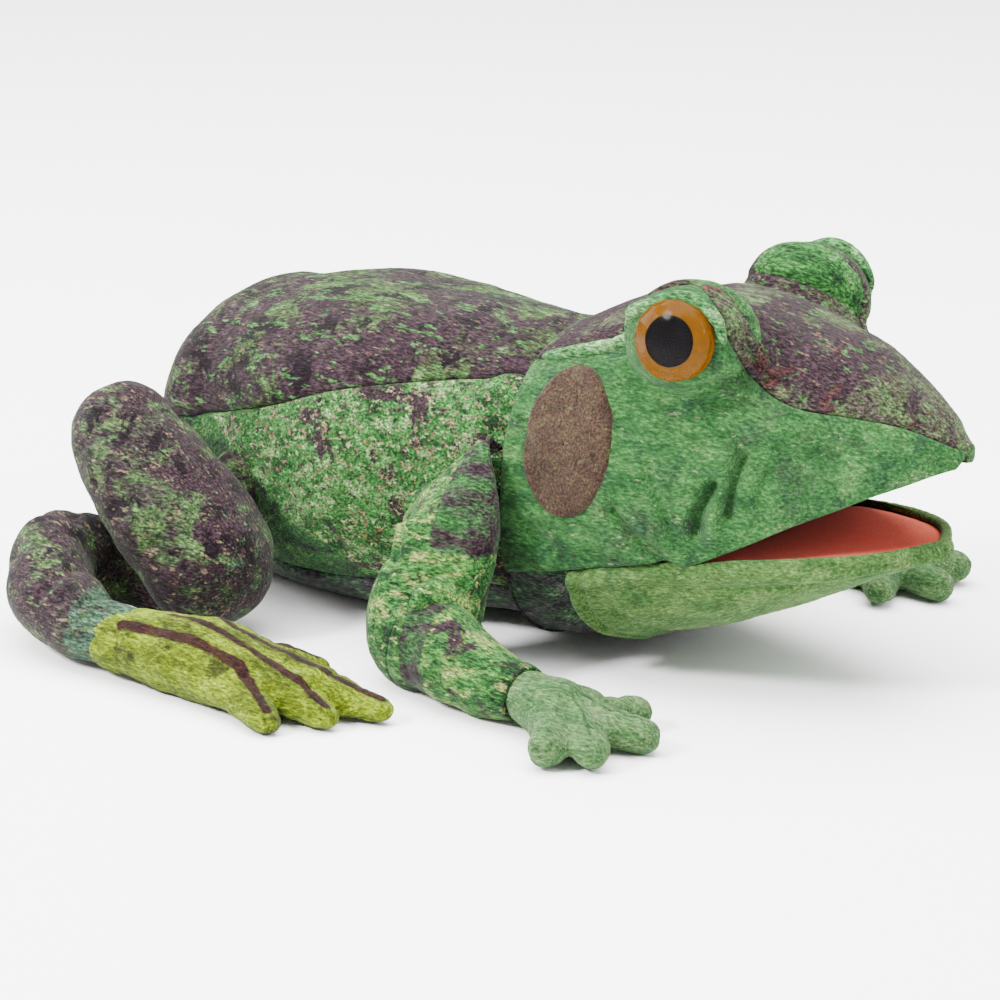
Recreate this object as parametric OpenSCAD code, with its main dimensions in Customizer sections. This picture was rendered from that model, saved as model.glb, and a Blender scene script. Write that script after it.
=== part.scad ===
// Plush frog hand puppet, sitting. +X runs towards the snout, +Y to the frog's left and +Z up.
// The origin is on the ground, under the middle of the puppet. All sizes are in millimetres.

/* [Torso] */
// Half width of the torso at the neck, which is also the radius of the neck ball
neck_r = 60; // [59:0.5:61]
// Extra half width of the torso at the belly
belly_bulge = 8; // [4:1:9]
// Height of the back above the ground
back_h = 126; // [122:1:128]
// Rearmost point of the torso
rump_x = -166; // [-168:1:-164]

/* [Fabric] */
// Thickness of the plush fabric with its pile
plush_t = 2.4; // [2:0.1:2.6]
// Thickness of the smooth lining fabric
lining_t = 1.2; // [0.8:0.1:1.4]
// Slack between two soft layers
slack = 0.5; // [0.4:0.1:0.7]

/* [Hand sleeve] */
// Half width of the sleeve that takes the arm
sleeve_w = 44; // [40:1:46]
// Half height of the sleeve
sleeve_h = 33; // [30:1:35]
// Height of the sleeve's centre line
sleeve_z = 60; // [58:1:62]

/* [Mouth] */
// Upward slope of the palate, in degrees
palate_pitch = 25; // [24:1:26]
// Upward slope of the lower jaw, in degrees
jaw_pitch = 6; // [5:1:7]
// Distance from the mouth's fold to the front of the palate board
palate_len = 84; // [80:1:86]
// Distance from the mouth's fold to the front of the jaw board
jaw_len = 80; // [76:1:82]
// Thickness of the mouth boards
board_t = 2; // [1.5:0.5:2.5]

/* [Eyes] */
// Radius of the plastic eye
eye_r = 15; // [14.5:0.5:16.5]
// Radius of the black pupil
pupil_r = 9.4; // [8.6:0.2:10.4]
// Height of the eye from its seat to the top of its dome
eye_dome = 10.5; // [10:0.5:11.5]
// Radius of the eye's stem
stem_r = 2.2; // [2:0.1:2.5]

/* [Part] */
// Which node is drawn
node = "all"; // [all, back_panel, head_top_panel, chin_panel, right_thigh_skin]

/* [Hidden] */
SIDES = ["right", "left"];
NODES = concat(
    ["back_panel", "right_flank_panel", "left_flank_panel", "belly_panel", "torso_stuffing",
     "sleeve_lining", "sleeve_hem", "neck_lining",
     "head_top_panel", "right_cheek_panel", "left_cheek_panel", "throat_panel",
     "head_stuffing", "finger_pocket", "palate_board", "palate_lining",
     "chin_panel", "chin_padding", "thumb_pocket", "jaw_board", "jaw_lining"],
    [for (s = SIDES, n = ["eardrum_patch", "eyelid", "eye_back", "eye_iris", "eye_pupil", "eye_lens",
        "eye_washer", "upper_arm_skin", "upper_arm_stuffing", "forearm_skin", "forearm_stuffing",
        "hand", "thigh_skin", "thigh_stuffing", "shank_skin", "shank_stuffing", "foot"])
        str(s, "_", n)]);

// Centre of the neck ball, about which the head nods and turns
neck = [-5, 0, 64];
// Angle from straight ahead, seen from the neck, of the rim of the torso's ball
ball_rim_a = 50;
// Where the rump starts to round towards the hand opening
rump_cap_x = -138;
rump_cap_l = rump_cap_x - rump_x;
// Front ends of the sleeve lining and the torso stuffing
sleeve_end_x = -30;
// Fold of the mouth, where the two boards meet
fold = [82, 0, 53];
// First and last section of the throat, the chin and the head stuffing
throat_x = [16, 62];
chin_x = [66, 171];
stuffing_x = [60, 168];
padding_x = [92, 142];
plush_in = plush_t + slack;
// Middle of the eye's seat and the way the eye looks: pitch up and turn forward, in degrees
eye_seat = [89.5, -55, 140];
eye_up = 8;
eye_forward = 8;
// Heights above the eye's seat: the black back, the iris at its rim, the iris at the pupil
eye_back_t = 2.5;
iris_low = 4;
iris_high = 6.5;
green = [0.24, 0.50, 0.28];
bright_green = [0.35, 0.68, 0.42];
bark = [0.30, 0.25, 0.28];
lime = [0.55, 0.66, 0.20];
coral = [0.78, 0.34, 0.26];
amber = [0.80, 0.56, 0.16];
lining_grey = [0.30, 0.34, 0.32];
filling_white = [0.93, 0.93, 0.90];

// ---- Curves and sections -------------------------------------------------------------------

function ease(t) = let (u = min(max(t, 0), 1)) u * u * (3 - 2 * u);
function signed_pow(v, p) = sign(v) * pow(abs(v), p);
function span(a, b, n) = [for (i = [0:n]) a + (b - a) * i / n];

// Index of the stretch of a curve that holds x
function stretch(pts, x, i = 0) =
    i >= len(pts) - 2 || x < pts[i + 1][0] ? i : stretch(pts, x, i + 1);

// Value at x of the smooth curve through [x, value] stations
function curve(pts, x) =
    let (i = stretch(pts, x), n = len(pts) - 1,
         p0 = pts[max(i - 1, 0)], p1 = pts[i], p2 = pts[i + 1], p3 = pts[min(i + 2, n)],
         h = p2[0] - p1[0], t = min(max((x - p1[0]) / h, 0), 1),
         m1 = (p2[1] - p0[1]) / (p2[0] - p0[0]) * h,
         m2 = (p3[1] - p1[1]) / (p3[0] - p1[0]) * h)
    (2 * t ^ 3 - 3 * t ^ 2 + 1) * p1[1] + (t ^ 3 - 2 * t ^ 2 + t) * m1
    + (3 * t ^ 2 - 2 * t ^ 3) * p2[1] + (t ^ 3 - t ^ 2) * m2;

// Point of a rounded section. Angle 0 is the right side, 90 the top, 180 the left side, 270 the bottom.
// The section is widest at height zw, reaches from zb to zt, and k is its roundness: 2 is an ellipse.
function section_point(x, a, w, zb, zw, zt, k) =
    [x, -w * signed_pow(cos(a), 2 / k),
     zw + (sin(a) >= 0 ? zt - zw : zw - zb) * signed_pow(sin(a), 2 / k)];

// Angle below the side at which a section reaches down to height z
function angle_at(z, zb, zw, k) = -asin(pow(min(max((zw - z) / (zw - zb), 0), 1), k / 2));

// ---- Torso ---------------------------------------------------------------------------------

torso_top = [[-138, 118], [-110, 124], [-80, 126], [-45, 125.5], [-5, 124]];
function torso_bulge(x) =
    belly_bulge * ease((-16 - x) / 50) - 16 * ease((-80 - x) / 80);
function torso_section(x, a, d) =
    let (w = neck_r + torso_bulge(x),
         top = curve(torso_top, x) + (back_h - 126) * ease((neck[0] - x) / 60),
         bottom = 4 - 7 * ease((neck[0] - x) / 60),
         k = 2 + 0.4 * ease((neck[0] - x) / 70),
         p = section_point(x, a, w - d, bottom + d, neck[2], top - d, k))
    [p[0], p[1], max(p[2], d)];
function sleeve_point(x, a, d) =
    [x, -(sleeve_w - d) * cos(a), sleeve_z + (sleeve_h - d) * sin(a)];

// Torso surface, d below the outer skin. s runs from the hand opening (0) over the rump (1) and along
// the back (2) to the front rim of the neck ball (3).
function torso_point(s, a, d) =
    s <= 1 ?
        let (o = sleeve_point(rump_x, a, 0), q = torso_section(rump_cap_x, a, d), m = sin(90 * s))
        [rump_cap_x - (rump_cap_l - d) * cos(90 * s), o[1] + (q[1] - o[1]) * m, o[2] + (q[2] - o[2]) * m]
    : s <= 2 ? torso_section(rump_cap_x + (neck[0] - rump_cap_x) * (s - 1), a, d)
    : let (t = 90 - (90 - ball_rim_a) * (s - 2), r = neck_r - d)
        neck + r * [cos(t), -sin(t) * cos(a), sin(t) * sin(a)];

// Seams of the torso: angle of the back's seam and of the belly's seam along s
function back_seam_a(s) = 6 + 46 * ease((s - 0.8) / 1.5);
belly_seam_a = -40;
torso_s = concat(span(0, 1, 4), [for (i = [1:8]) 1 + i / 8], [for (i = [1:4]) 2 + i / 4]);

// ---- Head and jaw --------------------------------------------------------------------------

head_w = [[16, 62.5], [34, 63.5], [60, 63], [86, 59], [117, 47], [141, 34], [159, 22], [172, 12], [179, 5]];
head_top = [[16, 127.5], [40, 137], [72, 145], [95, 144], [117, 138], [141, 130], [159, 120], [172, 110],
            [179, 104]];
head_wide = [[16, 63], [46, 59], [86, 55], [130, 76], [172, 96], [179, 99]];
head_bottom = [[16, 2], [40, 5], [66, 13], [90, 20], [115, 30], [140, 43], [171, 57]];
mouth_seam = [[16, 38], [46, 45], [86, 55]];
jaw_w = [[66, 58], [86, 55], [110, 50.5], [134, 42], [153, 31], [164, 19], [171, 7]];
jaw_rim = [[66, 50], [86, 54], [171, 62.5]];
head_k = 2.5;
head_x = [16, 24, 33, 44, 58, 72, 86, 100, 117, 132, 147, 159, 168, 175, 179];

function head_point(x, a, d) =
    section_point(x, a, curve(head_w, x) - d, curve(head_bottom, x) + d, curve(head_wide, x),
                  curve(head_top, x) - d, head_k);
function jaw_point(x, a, d) =
    section_point(x, a, curve(jaw_w, x) - d, curve(head_bottom, x) + d, curve(jaw_rim, x), 200, head_k);
// Seam between cheek and throat, and seam between cheek and head top
function mouth_seam_a(x) =
    x >= 86 ? 0 : angle_at(curve(mouth_seam, x), curve(head_bottom, x), curve(head_wide, x), head_k);
function head_seam_a(x) = curve([[16, 56], [50, 47], [86, 38], [115, 32], [179, 32]], x);

// ---- Solids --------------------------------------------------------------------------------

// Triangles between two neighbouring rows of n points that start at index a and b
function strip(a, b, n, ring) =
    [for (j = [0:(ring ? n - 1 : n - 2)]) let (k = (j + 1) % n)
        each [[a + j, a + k, b + k], [a + j, b + k, b + j]]];

// Closed solid between an outer and an inner grid of points. ring joins each row's two ends.
module layer(outer, inner, ring = false) {
    rows = len(outer);
    n = len(outer[0]);
    total = rows * n;
    outside = [for (i = [0:rows - 2]) each strip(i * n, (i + 1) * n, n, ring)];
    inside = [for (f = outside) [f[0] + total, f[2] + total, f[1] + total]];
    first = strip(total, 0, n, ring);
    last = strip((rows - 1) * n, total + (rows - 1) * n, n, ring);
    sides = ring ? [] :
        [for (i = [0:rows - 2]) each
            let (a = i * n, b = (i + 1) * n, c = a + n - 1, d = b + n - 1)
            [[a, b, b + total], [a, b + total, a + total], [c, d + total, d], [c, c + total, d + total]]];
    polyhedron(points = concat([for (r = outer) each r], [for (r = inner) each r]),
               faces = concat(outside, inside, first, last, sides), convexity = 6);
}

// Closed solid through a row of rings, with a fan of triangles over each end
module loft(rings) {
    rows = len(rings);
    n = len(rings[0]);
    ends = [for (r = [rings[0], rings[rows - 1]]) [for (k = [0:2]) [for (p = r) 1] * [for (p = r) p[k]] / n]];
    body = [for (i = [0:rows - 2]) each strip(i * n, (i + 1) * n, n, true)];
    caps = [for (j = [0:n - 1]) let (k = (j + 1) % n, m = (rows - 1) * n)
        each [[rows * n, k, j], [rows * n + 1, m + j, m + k]]];
    polyhedron(points = concat([for (r = rings) each r], ends),
               faces = concat(body, caps), convexity = 6);
}

// Rings round a path of [x, y, z, half width, half height] stations, with n points in each.
// cap is the share of the end radius at which each rounded end stops.
function unit(v) = v / norm(v);
function place(s) = [s[0], s[1], s[2]];
function path_dir(path, i) = unit(place(path[min(i + 1, len(path) - 1)]) - place(path[max(i - 1, 0)]));
function ring_at(c, dir, w, h, n) =
    let (side = unit(cross(dir, [0, 0, 1])), up = cross(side, dir))
    [for (j = [0:n - 1]) c + side * w * cos(360 * j / n) + up * h * sin(360 * j / n)];
function tube_rings(path, n, d = 0, caps = 2, cap = 0.2) =
    let (last = len(path) - 1, turn = acos(cap))
    concat(
        [for (i = [caps:-1:1]) let (t = turn * i / caps, s = path[0], dir = path_dir(path, 0))
            ring_at(place(s) - dir * (s[4] - d) * sin(t), dir, (s[3] - d) * cos(t), (s[4] - d) * cos(t), n)],
        [for (i = [0:last]) let (s = path[i]) ring_at(place(s), path_dir(path, i), s[3] - d, s[4] - d, n)],
        [for (i = [1:caps]) let (t = turn * i / caps, s = path[last], dir = path_dir(path, last))
            ring_at(place(s) + dir * (s[4] - d) * sin(t), dir, (s[3] - d) * cos(t), (s[4] - d) * cos(t), n)]);

// Skin of a stuffed limb, with a small turning gap at each end, and its filling
module limb_skin(path, tint, n = 14) {
    color(tint) layer(tube_rings(path, n), tube_rings(path, n, plush_t), ring = true);
}
module limb_stuffing(path, n = 14) {
    color(filling_white) loft(tube_rings(path, n, plush_in));
}

// What is drawn on the right is mirrored to the left
module on_side(side) {
    mirror([0, side == "left" ? 1 : 0, 0]) children();
}

// ---- Torso pieces --------------------------------------------------------------------------

module torso_layer(a0, a1, steps) {
    rows = function (d) [for (s = torso_s)
        [for (t = span(0, 1, steps)) torso_point(s, a0(s) + (a1(s) - a0(s)) * t, d)]];
    layer(rows(0), rows(plush_t));
}
module back_panel() {
    color(bark) torso_layer(function (s) back_seam_a(s), function (s) 180 - back_seam_a(s), 12);
}
module flank_panel(side) {
    color(green) on_side(side) torso_layer(function (s) belly_seam_a, function (s) back_seam_a(s), 7);
}
module belly_panel() {
    color(bark) torso_layer(function (s) 180 - belly_seam_a, function (s) 360 + belly_seam_a, 9);
}
module torso_stuffing() {
    s_in = [for (s = span(0.25, 1.75, 9)) s];
    rows = [for (s = s_in) [for (j = [0:27]) torso_point(s, 360 * j / 28, plush_in + slack)]];
    holes = [for (r = rows) [for (j = [0:27]) sleeve_point(r[0][0], 360 * j / 28, -slack)]];
    color(filling_white) layer(rows, holes, ring = true);
}
module sleeve_lining() {
    rows = function (d) [for (x = span(rump_x, sleeve_end_x, 3))
        [for (j = [0:27]) sleeve_point(x, 360 * j / 28, d)]];
    color(lining_grey) layer(rows(slack), rows(slack + lining_t), ring = true);
}
module sleeve_hem() {
    // A rolled band round the hand opening, half round in section
    rows = function (turn) [for (t = span(0, 180, 4)) [for (j = [0:27])
        let (p = sleeve_point(rump_x - 0.2, 360 * j / 28, -0.3 + turn * cos(t)))
        [p[0] - (1.2 + turn) * sin(t), p[1], p[2]]]];
    color(bark) layer(rows(3), rows(1.2), ring = true);
}

// ---- Neck ----------------------------------------------------------------------------------

module neck_lining() {
    outer_r = neck_r - plush_t - 2 * slack;
    ball = function (r) [for (t = span(72, 52, 3)) [for (j = [0:23])
        let (a = 360 * j / 24) neck + r * [cos(t), -sin(t) * cos(a), sin(t) * sin(a)]]];
    color(lining_grey) layer(ball(outer_r), ball(outer_r - lining_t), ring = true);
}

// ---- Head pieces ---------------------------------------------------------------------------

module head_layer(xs, a0, a1, steps) {
    rows = function (d) [for (x = xs)
        [for (t = span(0, 1, steps)) head_point(x, a0(x) + (a1(x) - a0(x)) * t, d)]];
    layer(rows(0), rows(plush_t));
}
module head_top_panel() {
    color(bark) head_layer(head_x, function (x) head_seam_a(x), function (x) 180 - head_seam_a(x), 10);
}
module cheek_panel(side) {
    color(bright_green) on_side(side)
        head_layer(head_x, function (x) mouth_seam_a(x), function (x) head_seam_a(x), 7);
}
module throat_panel() {
    color(lime) head_layer([for (x = head_x) if (x < throat_x[1]) x],
        function (x) 180 - mouth_seam_a(x), function (x) 360 + mouth_seam_a(x), 10);
}
// The space over the palate board that takes the four fingers, d outside its lining
function pocket_floor(x) = fold[2] + (x - fold[0]) * tan(palate_pitch) + 5.8;
function pocket_point(x, a, d) =
    let (t = (x - stuffing_x[0]) / (stuffing_x[1] - stuffing_x[0]), base = pocket_floor(x))
    section_point(x, a, 40 - 32 * t * t + d, base - 1, base, base + 34 - 26 * t + d, head_k);
module head_stuffing() {
    xs = span(stuffing_x[0], stuffing_x[1], 9);
    // The filling stands on the palate board, so each section starts at the height of the pocket's floor
    outer = [for (x = xs)
        let (zw = curve(head_wide, x), zt = curve(head_top, x) - plush_in,
             a0 = asin(pow(max((pocket_floor(x) - zw) / (zt - zw), 0), head_k / 2)))
        [for (a = span(a0, 180 - a0, 12)) head_point(x, a, plush_in)]];
    inner = [for (x = xs) [for (a = span(0, 180, 12)) pocket_point(x, a, 0)]];
    color(filling_white) layer(outer, inner);
}
module finger_pocket() {
    xs = span(stuffing_x[0], stuffing_x[1] - 4, 7);
    rows = function (d) [for (x = xs) [for (a = span(0, 180, 12)) pocket_point(x, a, d)]];
    color(lining_grey) layer(rows(-slack), rows(-slack - lining_t));
}
// Outline of a mouth board or lining: straight across the fold, rounded at the front
module mouth_outline(length, half_w, nose) {
    hull() {
        translate([0, -half_w]) square([4, 2 * half_w]);
        translate([length * 0.45, 0]) square([1, 1.55 * half_w], center = true);
        translate([length - nose, 0]) circle(r = nose, $fn = 48);
    }
}
module mouth_plate(pitch, low, thick, length, half_w, nose) {
    translate(fold) rotate([0, -pitch, 0]) translate([3, 0, low]) linear_extrude(thick)
        mouth_outline(length, half_w, nose);
}
module palate_board() {
    color("white") mouth_plate(palate_pitch, 2, board_t, palate_len, 46, 12);
}
module palate_lining() {
    color(coral) mouth_plate(palate_pitch, 0.6, lining_t, palate_len + 2, 48, 13);
}

// ---- Jaw pieces ----------------------------------------------------------------------------

module chin_panel() {
    xs = [66, 76, 90, 105, 120, 134, 146, 156, 164, 169, chin_x[1]];
    // The rear edge is tucked in by a layer of fabric, so that it slides inside the throat
    tuck = function (x) plush_t * (1 - ease((x - 66) / 14)) * 1.3;
    rows = function (d) [for (x = xs) [for (a = span(180, 360, 16)) jaw_point(x, a, d + tuck(x))]];
    color(lime) layer(rows(0), rows(plush_t));
}
function thumb_roof(x) = fold[2] + (x - fold[0]) * tan(jaw_pitch) - 5;
function thumb_point(x, a, d) =
    let (t = (x - padding_x[0]) / (padding_x[1] - padding_x[0]), roof = thumb_roof(x))
    section_point(x, a, 26 - 16 * t * t + d, roof - 18 + 12 * t - d, roof, roof + 1, head_k);
module chin_padding() {
    xs = span(padding_x[0], padding_x[1], 6);
    outer = [for (x = xs)
        let (a0 = -angle_at(thumb_roof(x), curve(head_bottom, x) + plush_in, curve(jaw_rim, x), head_k))
        [for (a = span(180 + a0, 360 - a0, 12)) jaw_point(x, a, plush_in)]];
    inner = [for (x = xs) [for (a = span(180, 360, 12)) thumb_point(x, a, 0)]];
    color(filling_white) layer(outer, inner);
}
module thumb_pocket() {
    rows = function (d) [for (x = span(padding_x[0], padding_x[1] - 4, 5))
        [for (a = span(180, 360, 10)) thumb_point(x, a, d)]];
    color(lining_grey) layer(rows(-slack), rows(-slack - lining_t));
}
module jaw_board() {
    color("white") mouth_plate(jaw_pitch, -2 - board_t, board_t, jaw_len, 46, 22);
}
module jaw_lining() {
    color(coral) mouth_plate(jaw_pitch, -0.6 - lining_t, lining_t, jaw_len + 2, 48, 23);
}

// ---- Eyes ----------------------------------------------------------------------------------

// Puts a solid drawn round +Z on the eye's axis, with the seat at height 0
module at_eye(side) {
    on_side(side) translate(eye_seat) rotate([0, 0, eye_forward]) rotate([90 - eye_up, 0, 0]) children();
}
module eardrum_patch(side) {
    // Oval of thin plush that lies on the cheek behind and below the eye
    middle = [44, 94];
    half = [20, 28];
    rows = function (d) [for (r = span(0.08, 1, 4)) [for (j = [0:23])
        let (x = middle[0] + half[0] * r * cos(15 * j), z = middle[1] + half[1] * r * sin(15 * j),
             zw = curve(head_wide, x), k = (z - zw) / (curve(head_top, x) - zw),
             y = curve(head_w, x) * pow(1 - pow(max(k, 0.001), head_k), 1 / head_k))
        [x, -y - d, z]]];
    color(bark) on_side(side) layer(rows(slack + 1.4), rows(slack), ring = true);
}
module eyelid(side) {
    // Stuffed mound on the head: at the middle its outline is an ellipse, which shrinks to both ends
    mid = 88;
    seat = [-40.5, 137];
    half = [20.5, 22.5];
    base = function (x, t) head_point(x, 38 + 42 * t, -slack);
    rise = function (t) let (p = base(mid, t), a = -128 - 210 * t)
        [0, seat[0] + half[0] * cos(a) - p[1], seat[1] + half[1] * sin(a) - p[2]];
    xs = [for (t = span(-88, 88, 10)) mid + 28 * sin(t)];
    outer = [for (x = xs) [for (t = span(0, 1, 12))
        base(x, t) + [0, -0.7, 0.7] + rise(t) * sqrt(max(1 - pow((x - mid) / 28, 2), 0))]];
    inner = [for (x = xs) [for (t = span(0, 1, 12)) base(x, t)]];
    color(bright_green) difference() {
        on_side(side) layer(outer, inner);
        at_eye(side) {
            cylinder(r = eye_r + slack, h = 30, $fn = 40);
            translate([0, 0, -16]) cylinder(r = stem_r + slack, h = 20, $fn = 16);
            translate([0, 0, -8]) cylinder(r = 7, h = 4, $fn = 24);
        }
    }
}
module eye_back(side) {
    color("black") at_eye(side) {
        cylinder(r = eye_r, h = eye_back_t, $fn = 64);
        translate([0, 0, -12]) cylinder(r = stem_r, h = 12.5, $fn = 32);
    }
}
module eye_iris(side) {
    // Amber ring that rises from the rim to the pupil
    color(amber) at_eye(side) rotate_extrude($fn = 64)
        polygon([[pupil_r + 0.1, eye_back_t], [eye_r - 0.4, eye_back_t], [eye_r - 0.4, iris_low],
                 [pupil_r + 0.1, iris_high]]);
}
module eye_pupil(side) {
    color("black") at_eye(side) translate([0, 0, eye_back_t])
        cylinder(r = pupil_r, h = iris_high - eye_back_t + 0.3, $fn = 64);
}
module eye_lens(side) {
    // Clear dome: an elliptical crown, hollowed to sit on the iris and the pupil
    crown = [for (t = span(0, 84, 12)) [eye_r * cos(t), iris_low + 0.05 + (eye_dome - iris_low) * sin(t)]];
    hollow = [[0, eye_dome + 0.05], [0, iris_high + 0.35], [pupil_r + 0.1, iris_high + 0.35],
              [eye_r - 0.4, iris_low + 0.05]];
    color([0.9, 0.9, 0.9, 0.4]) at_eye(side) rotate_extrude($fn = 64) polygon(concat(crown, hollow));
}
module eye_washer(side) {
    color("white") at_eye(side) translate([0, 0, -7]) difference() {
        cylinder(r = 6.5, h = 1.6, $fn = 48);
        translate([0, 0, -1]) cylinder(r = stem_r + 0.05, h = 4, $fn = 32);
    }
}

// ---- Front legs ----------------------------------------------------------------------------

elbow = [-8, -93, 19];
wrist = [61, -108, 13];
// Sleeve of the upper arm: [x, y, z, half thickness, half width] from the shoulder seam down
sleeve_path = [[-4, -74, 80, 3.5, 24], [-4, -78.5, 73, 7, 25], [-5, -83, 61, 10, 24], [-6, -86, 50, 12, 23],
               [-6, -88, 42, 12.5, 22]];
function sleeve_rings(d, low) = [for (s = sleeve_path) [for (j = [0:15])
    [s[0] + (s[4] - d) * cos(22.5 * j), s[1] + (s[3] - d) * sin(22.5 * j), max(s[2], low)]]];
module upper_arm_skin(side) {
    color(green) on_side(side) layer(sleeve_rings(0, 0), sleeve_rings(plush_t, 0), ring = true);
}
module upper_arm_stuffing(side) {
    rings = [for (i = [1:4]) sleeve_rings(plush_in, 0)[i]];
    color(filling_white) on_side(side) loft(rings);
}
forearm_path = [[elbow[0], elbow[1], elbow[2], 18, 18.5], [8, -98, 19, 17, 17.5], [26, -103, 17, 15, 15],
                [40, -106, 14.5, 13.5, 13], [50, wrist[1], wrist[2], 12, 11]];
module forearm_skin(side) {
    on_side(side) limb_skin(forearm_path, green);
}
module forearm_stuffing(side) {
    on_side(side) limb_stuffing(forearm_path);
}
// A paw or foot: a flattened palm with tapering digits, all cut level with the ground.
// start is [x, y, z, r], palm and each digit's [knuckle, tip] likewise.
module blob(p, flat) {
    translate([p[0], p[1], p[2]]) scale([1, 1, flat]) sphere(r = p[3], $fn = 16);
}
module paw(start, palm, digits, flat) {
    intersection() {
        union() {
            hull() {
                blob(start, 0.9);
                blob(palm, flat);
            }
            for (d = digits) {
                hull() {
                    blob(palm, flat);
                    blob(d[0], flat);
                }
                hull() {
                    blob(d[0], flat);
                    blob(d[1], flat);
                }
            }
        }
        translate([-200, -200, 0]) cube([400, 400, 60]);
    }
}
module hand(side) {
    color(bright_green) on_side(side) paw([73, -110, 11, 10], [80, -112, 8, 15],
        [[[86, -126, 8, 10], [92, -139, 7, 9.5]], [[94, -121, 8, 10], [103, -131, 7, 9]],
         [[96, -110, 8, 9], [109, -107, 6, 7.5]], [[88, -100, 8, 9], [94, -88, 7, 7]]], 0.8);
}

// ---- Hind legs -----------------------------------------------------------------------------

knee = [-101, -97, 31];
thigh_path = [[-147, -93, 72, 21, 22], [-135, -95, 62, 24, 25], [-118, -96, 47, 26, 27],
              [knee[0], knee[1], knee[2], 25, 27]];
shank_path = [[-128, -97, 8, 7.4, 6.4], [-142.5, -99, 15.5, 11.5, 11.5], [-156, -107, 22, 17, 18],
              [-161, -122, 24, 19, 21], [-148, -140, 22, 18, 20], [-128, -149, 18, 16, 17],
              [-112, -152, 15.5, 14, 13.5]];
module thigh_skin(side) {
    on_side(side) limb_skin(thigh_path, bark);
}
module thigh_stuffing(side) {
    on_side(side) limb_stuffing(thigh_path);
}
module shank_skin(side) {
    on_side(side) limb_skin(shank_path, bark);
}
module shank_stuffing(side) {
    on_side(side) limb_stuffing(shank_path);
}
module foot(side) {
    color(lime) on_side(side) paw([-84, -152, 14, 13], [-58, -148, 11, 20],
        [[[-34, -160, 8, 11], [-12, -169, 6, 8]], [[-26, -151, 9, 11], [1, -153, 6, 8]],
         [[-20, -142, 9, 11], [12, -138, 7, 8.5]], [[-50, -126, 9, 10], [-40, -116, 8, 7]]], 0.75);
}

// ---- What is drawn -------------------------------------------------------------------------

function shown(name) = node == "all" || node == name;

if (shown("back_panel")) back_panel();
if (shown("belly_panel")) belly_panel();
if (shown("torso_stuffing")) torso_stuffing();
if (shown("sleeve_lining")) sleeve_lining();
if (shown("sleeve_hem")) sleeve_hem();
if (shown("neck_lining")) neck_lining();
if (shown("head_top_panel")) head_top_panel();
if (shown("throat_panel")) throat_panel();
if (shown("head_stuffing")) head_stuffing();
if (shown("finger_pocket")) finger_pocket();
if (shown("palate_board")) palate_board();
if (shown("palate_lining")) palate_lining();
if (shown("chin_panel")) chin_panel();
if (shown("chin_padding")) chin_padding();
if (shown("thumb_pocket")) thumb_pocket();
if (shown("jaw_board")) jaw_board();
if (shown("jaw_lining")) jaw_lining();
for (s = SIDES) {
    if (shown(str(s, "_flank_panel"))) flank_panel(s);
    if (shown(str(s, "_cheek_panel"))) cheek_panel(s);
    if (shown(str(s, "_eardrum_patch"))) eardrum_patch(s);
    if (shown(str(s, "_eyelid"))) eyelid(s);
    if (shown(str(s, "_eye_back"))) eye_back(s);
    if (shown(str(s, "_eye_iris"))) eye_iris(s);
    if (shown(str(s, "_eye_pupil"))) eye_pupil(s);
    if (shown(str(s, "_eye_lens"))) eye_lens(s);
    if (shown(str(s, "_eye_washer"))) eye_washer(s);
    if (shown(str(s, "_upper_arm_skin"))) upper_arm_skin(s);
    if (shown(str(s, "_upper_arm_stuffing"))) upper_arm_stuffing(s);
    if (shown(str(s, "_forearm_skin"))) forearm_skin(s);
    if (shown(str(s, "_forearm_stuffing"))) forearm_stuffing(s);
    if (shown(str(s, "_hand"))) hand(s);
    if (shown(str(s, "_thigh_skin"))) thigh_skin(s);
    if (shown(str(s, "_thigh_stuffing"))) thigh_stuffing(s);
    if (shown(str(s, "_shank_skin"))) shank_skin(s);
    if (shown(str(s, "_shank_stuffing"))) shank_stuffing(s);
    if (shown(str(s, "_foot"))) foot(s);
}
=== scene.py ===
"""Plush frog hand puppet: soft skins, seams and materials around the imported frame.

+X is the snout, +Y the frog's left and +Z up.
"""
import math

import bmesh
import bpy
import numpy as np
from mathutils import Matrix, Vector
from mathutils.bvhtree import BVHTree


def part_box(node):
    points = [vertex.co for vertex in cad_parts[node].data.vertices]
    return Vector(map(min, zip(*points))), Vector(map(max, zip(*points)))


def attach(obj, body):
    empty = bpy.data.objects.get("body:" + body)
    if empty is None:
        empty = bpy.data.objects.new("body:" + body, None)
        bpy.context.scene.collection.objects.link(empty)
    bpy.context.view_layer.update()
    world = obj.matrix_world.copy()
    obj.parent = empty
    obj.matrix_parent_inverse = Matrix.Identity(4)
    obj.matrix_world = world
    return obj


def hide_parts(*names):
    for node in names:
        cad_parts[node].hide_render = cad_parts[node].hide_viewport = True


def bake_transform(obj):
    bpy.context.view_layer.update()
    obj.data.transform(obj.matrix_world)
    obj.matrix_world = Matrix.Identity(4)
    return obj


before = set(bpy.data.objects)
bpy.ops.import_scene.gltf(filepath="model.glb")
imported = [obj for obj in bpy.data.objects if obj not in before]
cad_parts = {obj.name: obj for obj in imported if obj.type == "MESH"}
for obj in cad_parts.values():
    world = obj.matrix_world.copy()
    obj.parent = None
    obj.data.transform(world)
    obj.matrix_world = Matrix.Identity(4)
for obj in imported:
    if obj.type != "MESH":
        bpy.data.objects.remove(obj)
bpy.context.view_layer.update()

MM = 0.001
GRID = 1.25      # spacing of the points of a skin, in mm
FABRIC = 1.8                       # thickness of a skin, in mm
LINING = 0.8                       # thickness of the lining cloth, in mm
SIDES = {"right": -1.0, "left": 1.0}


# ---- Camera, light and floor ----------------------------------------------------------------

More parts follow.
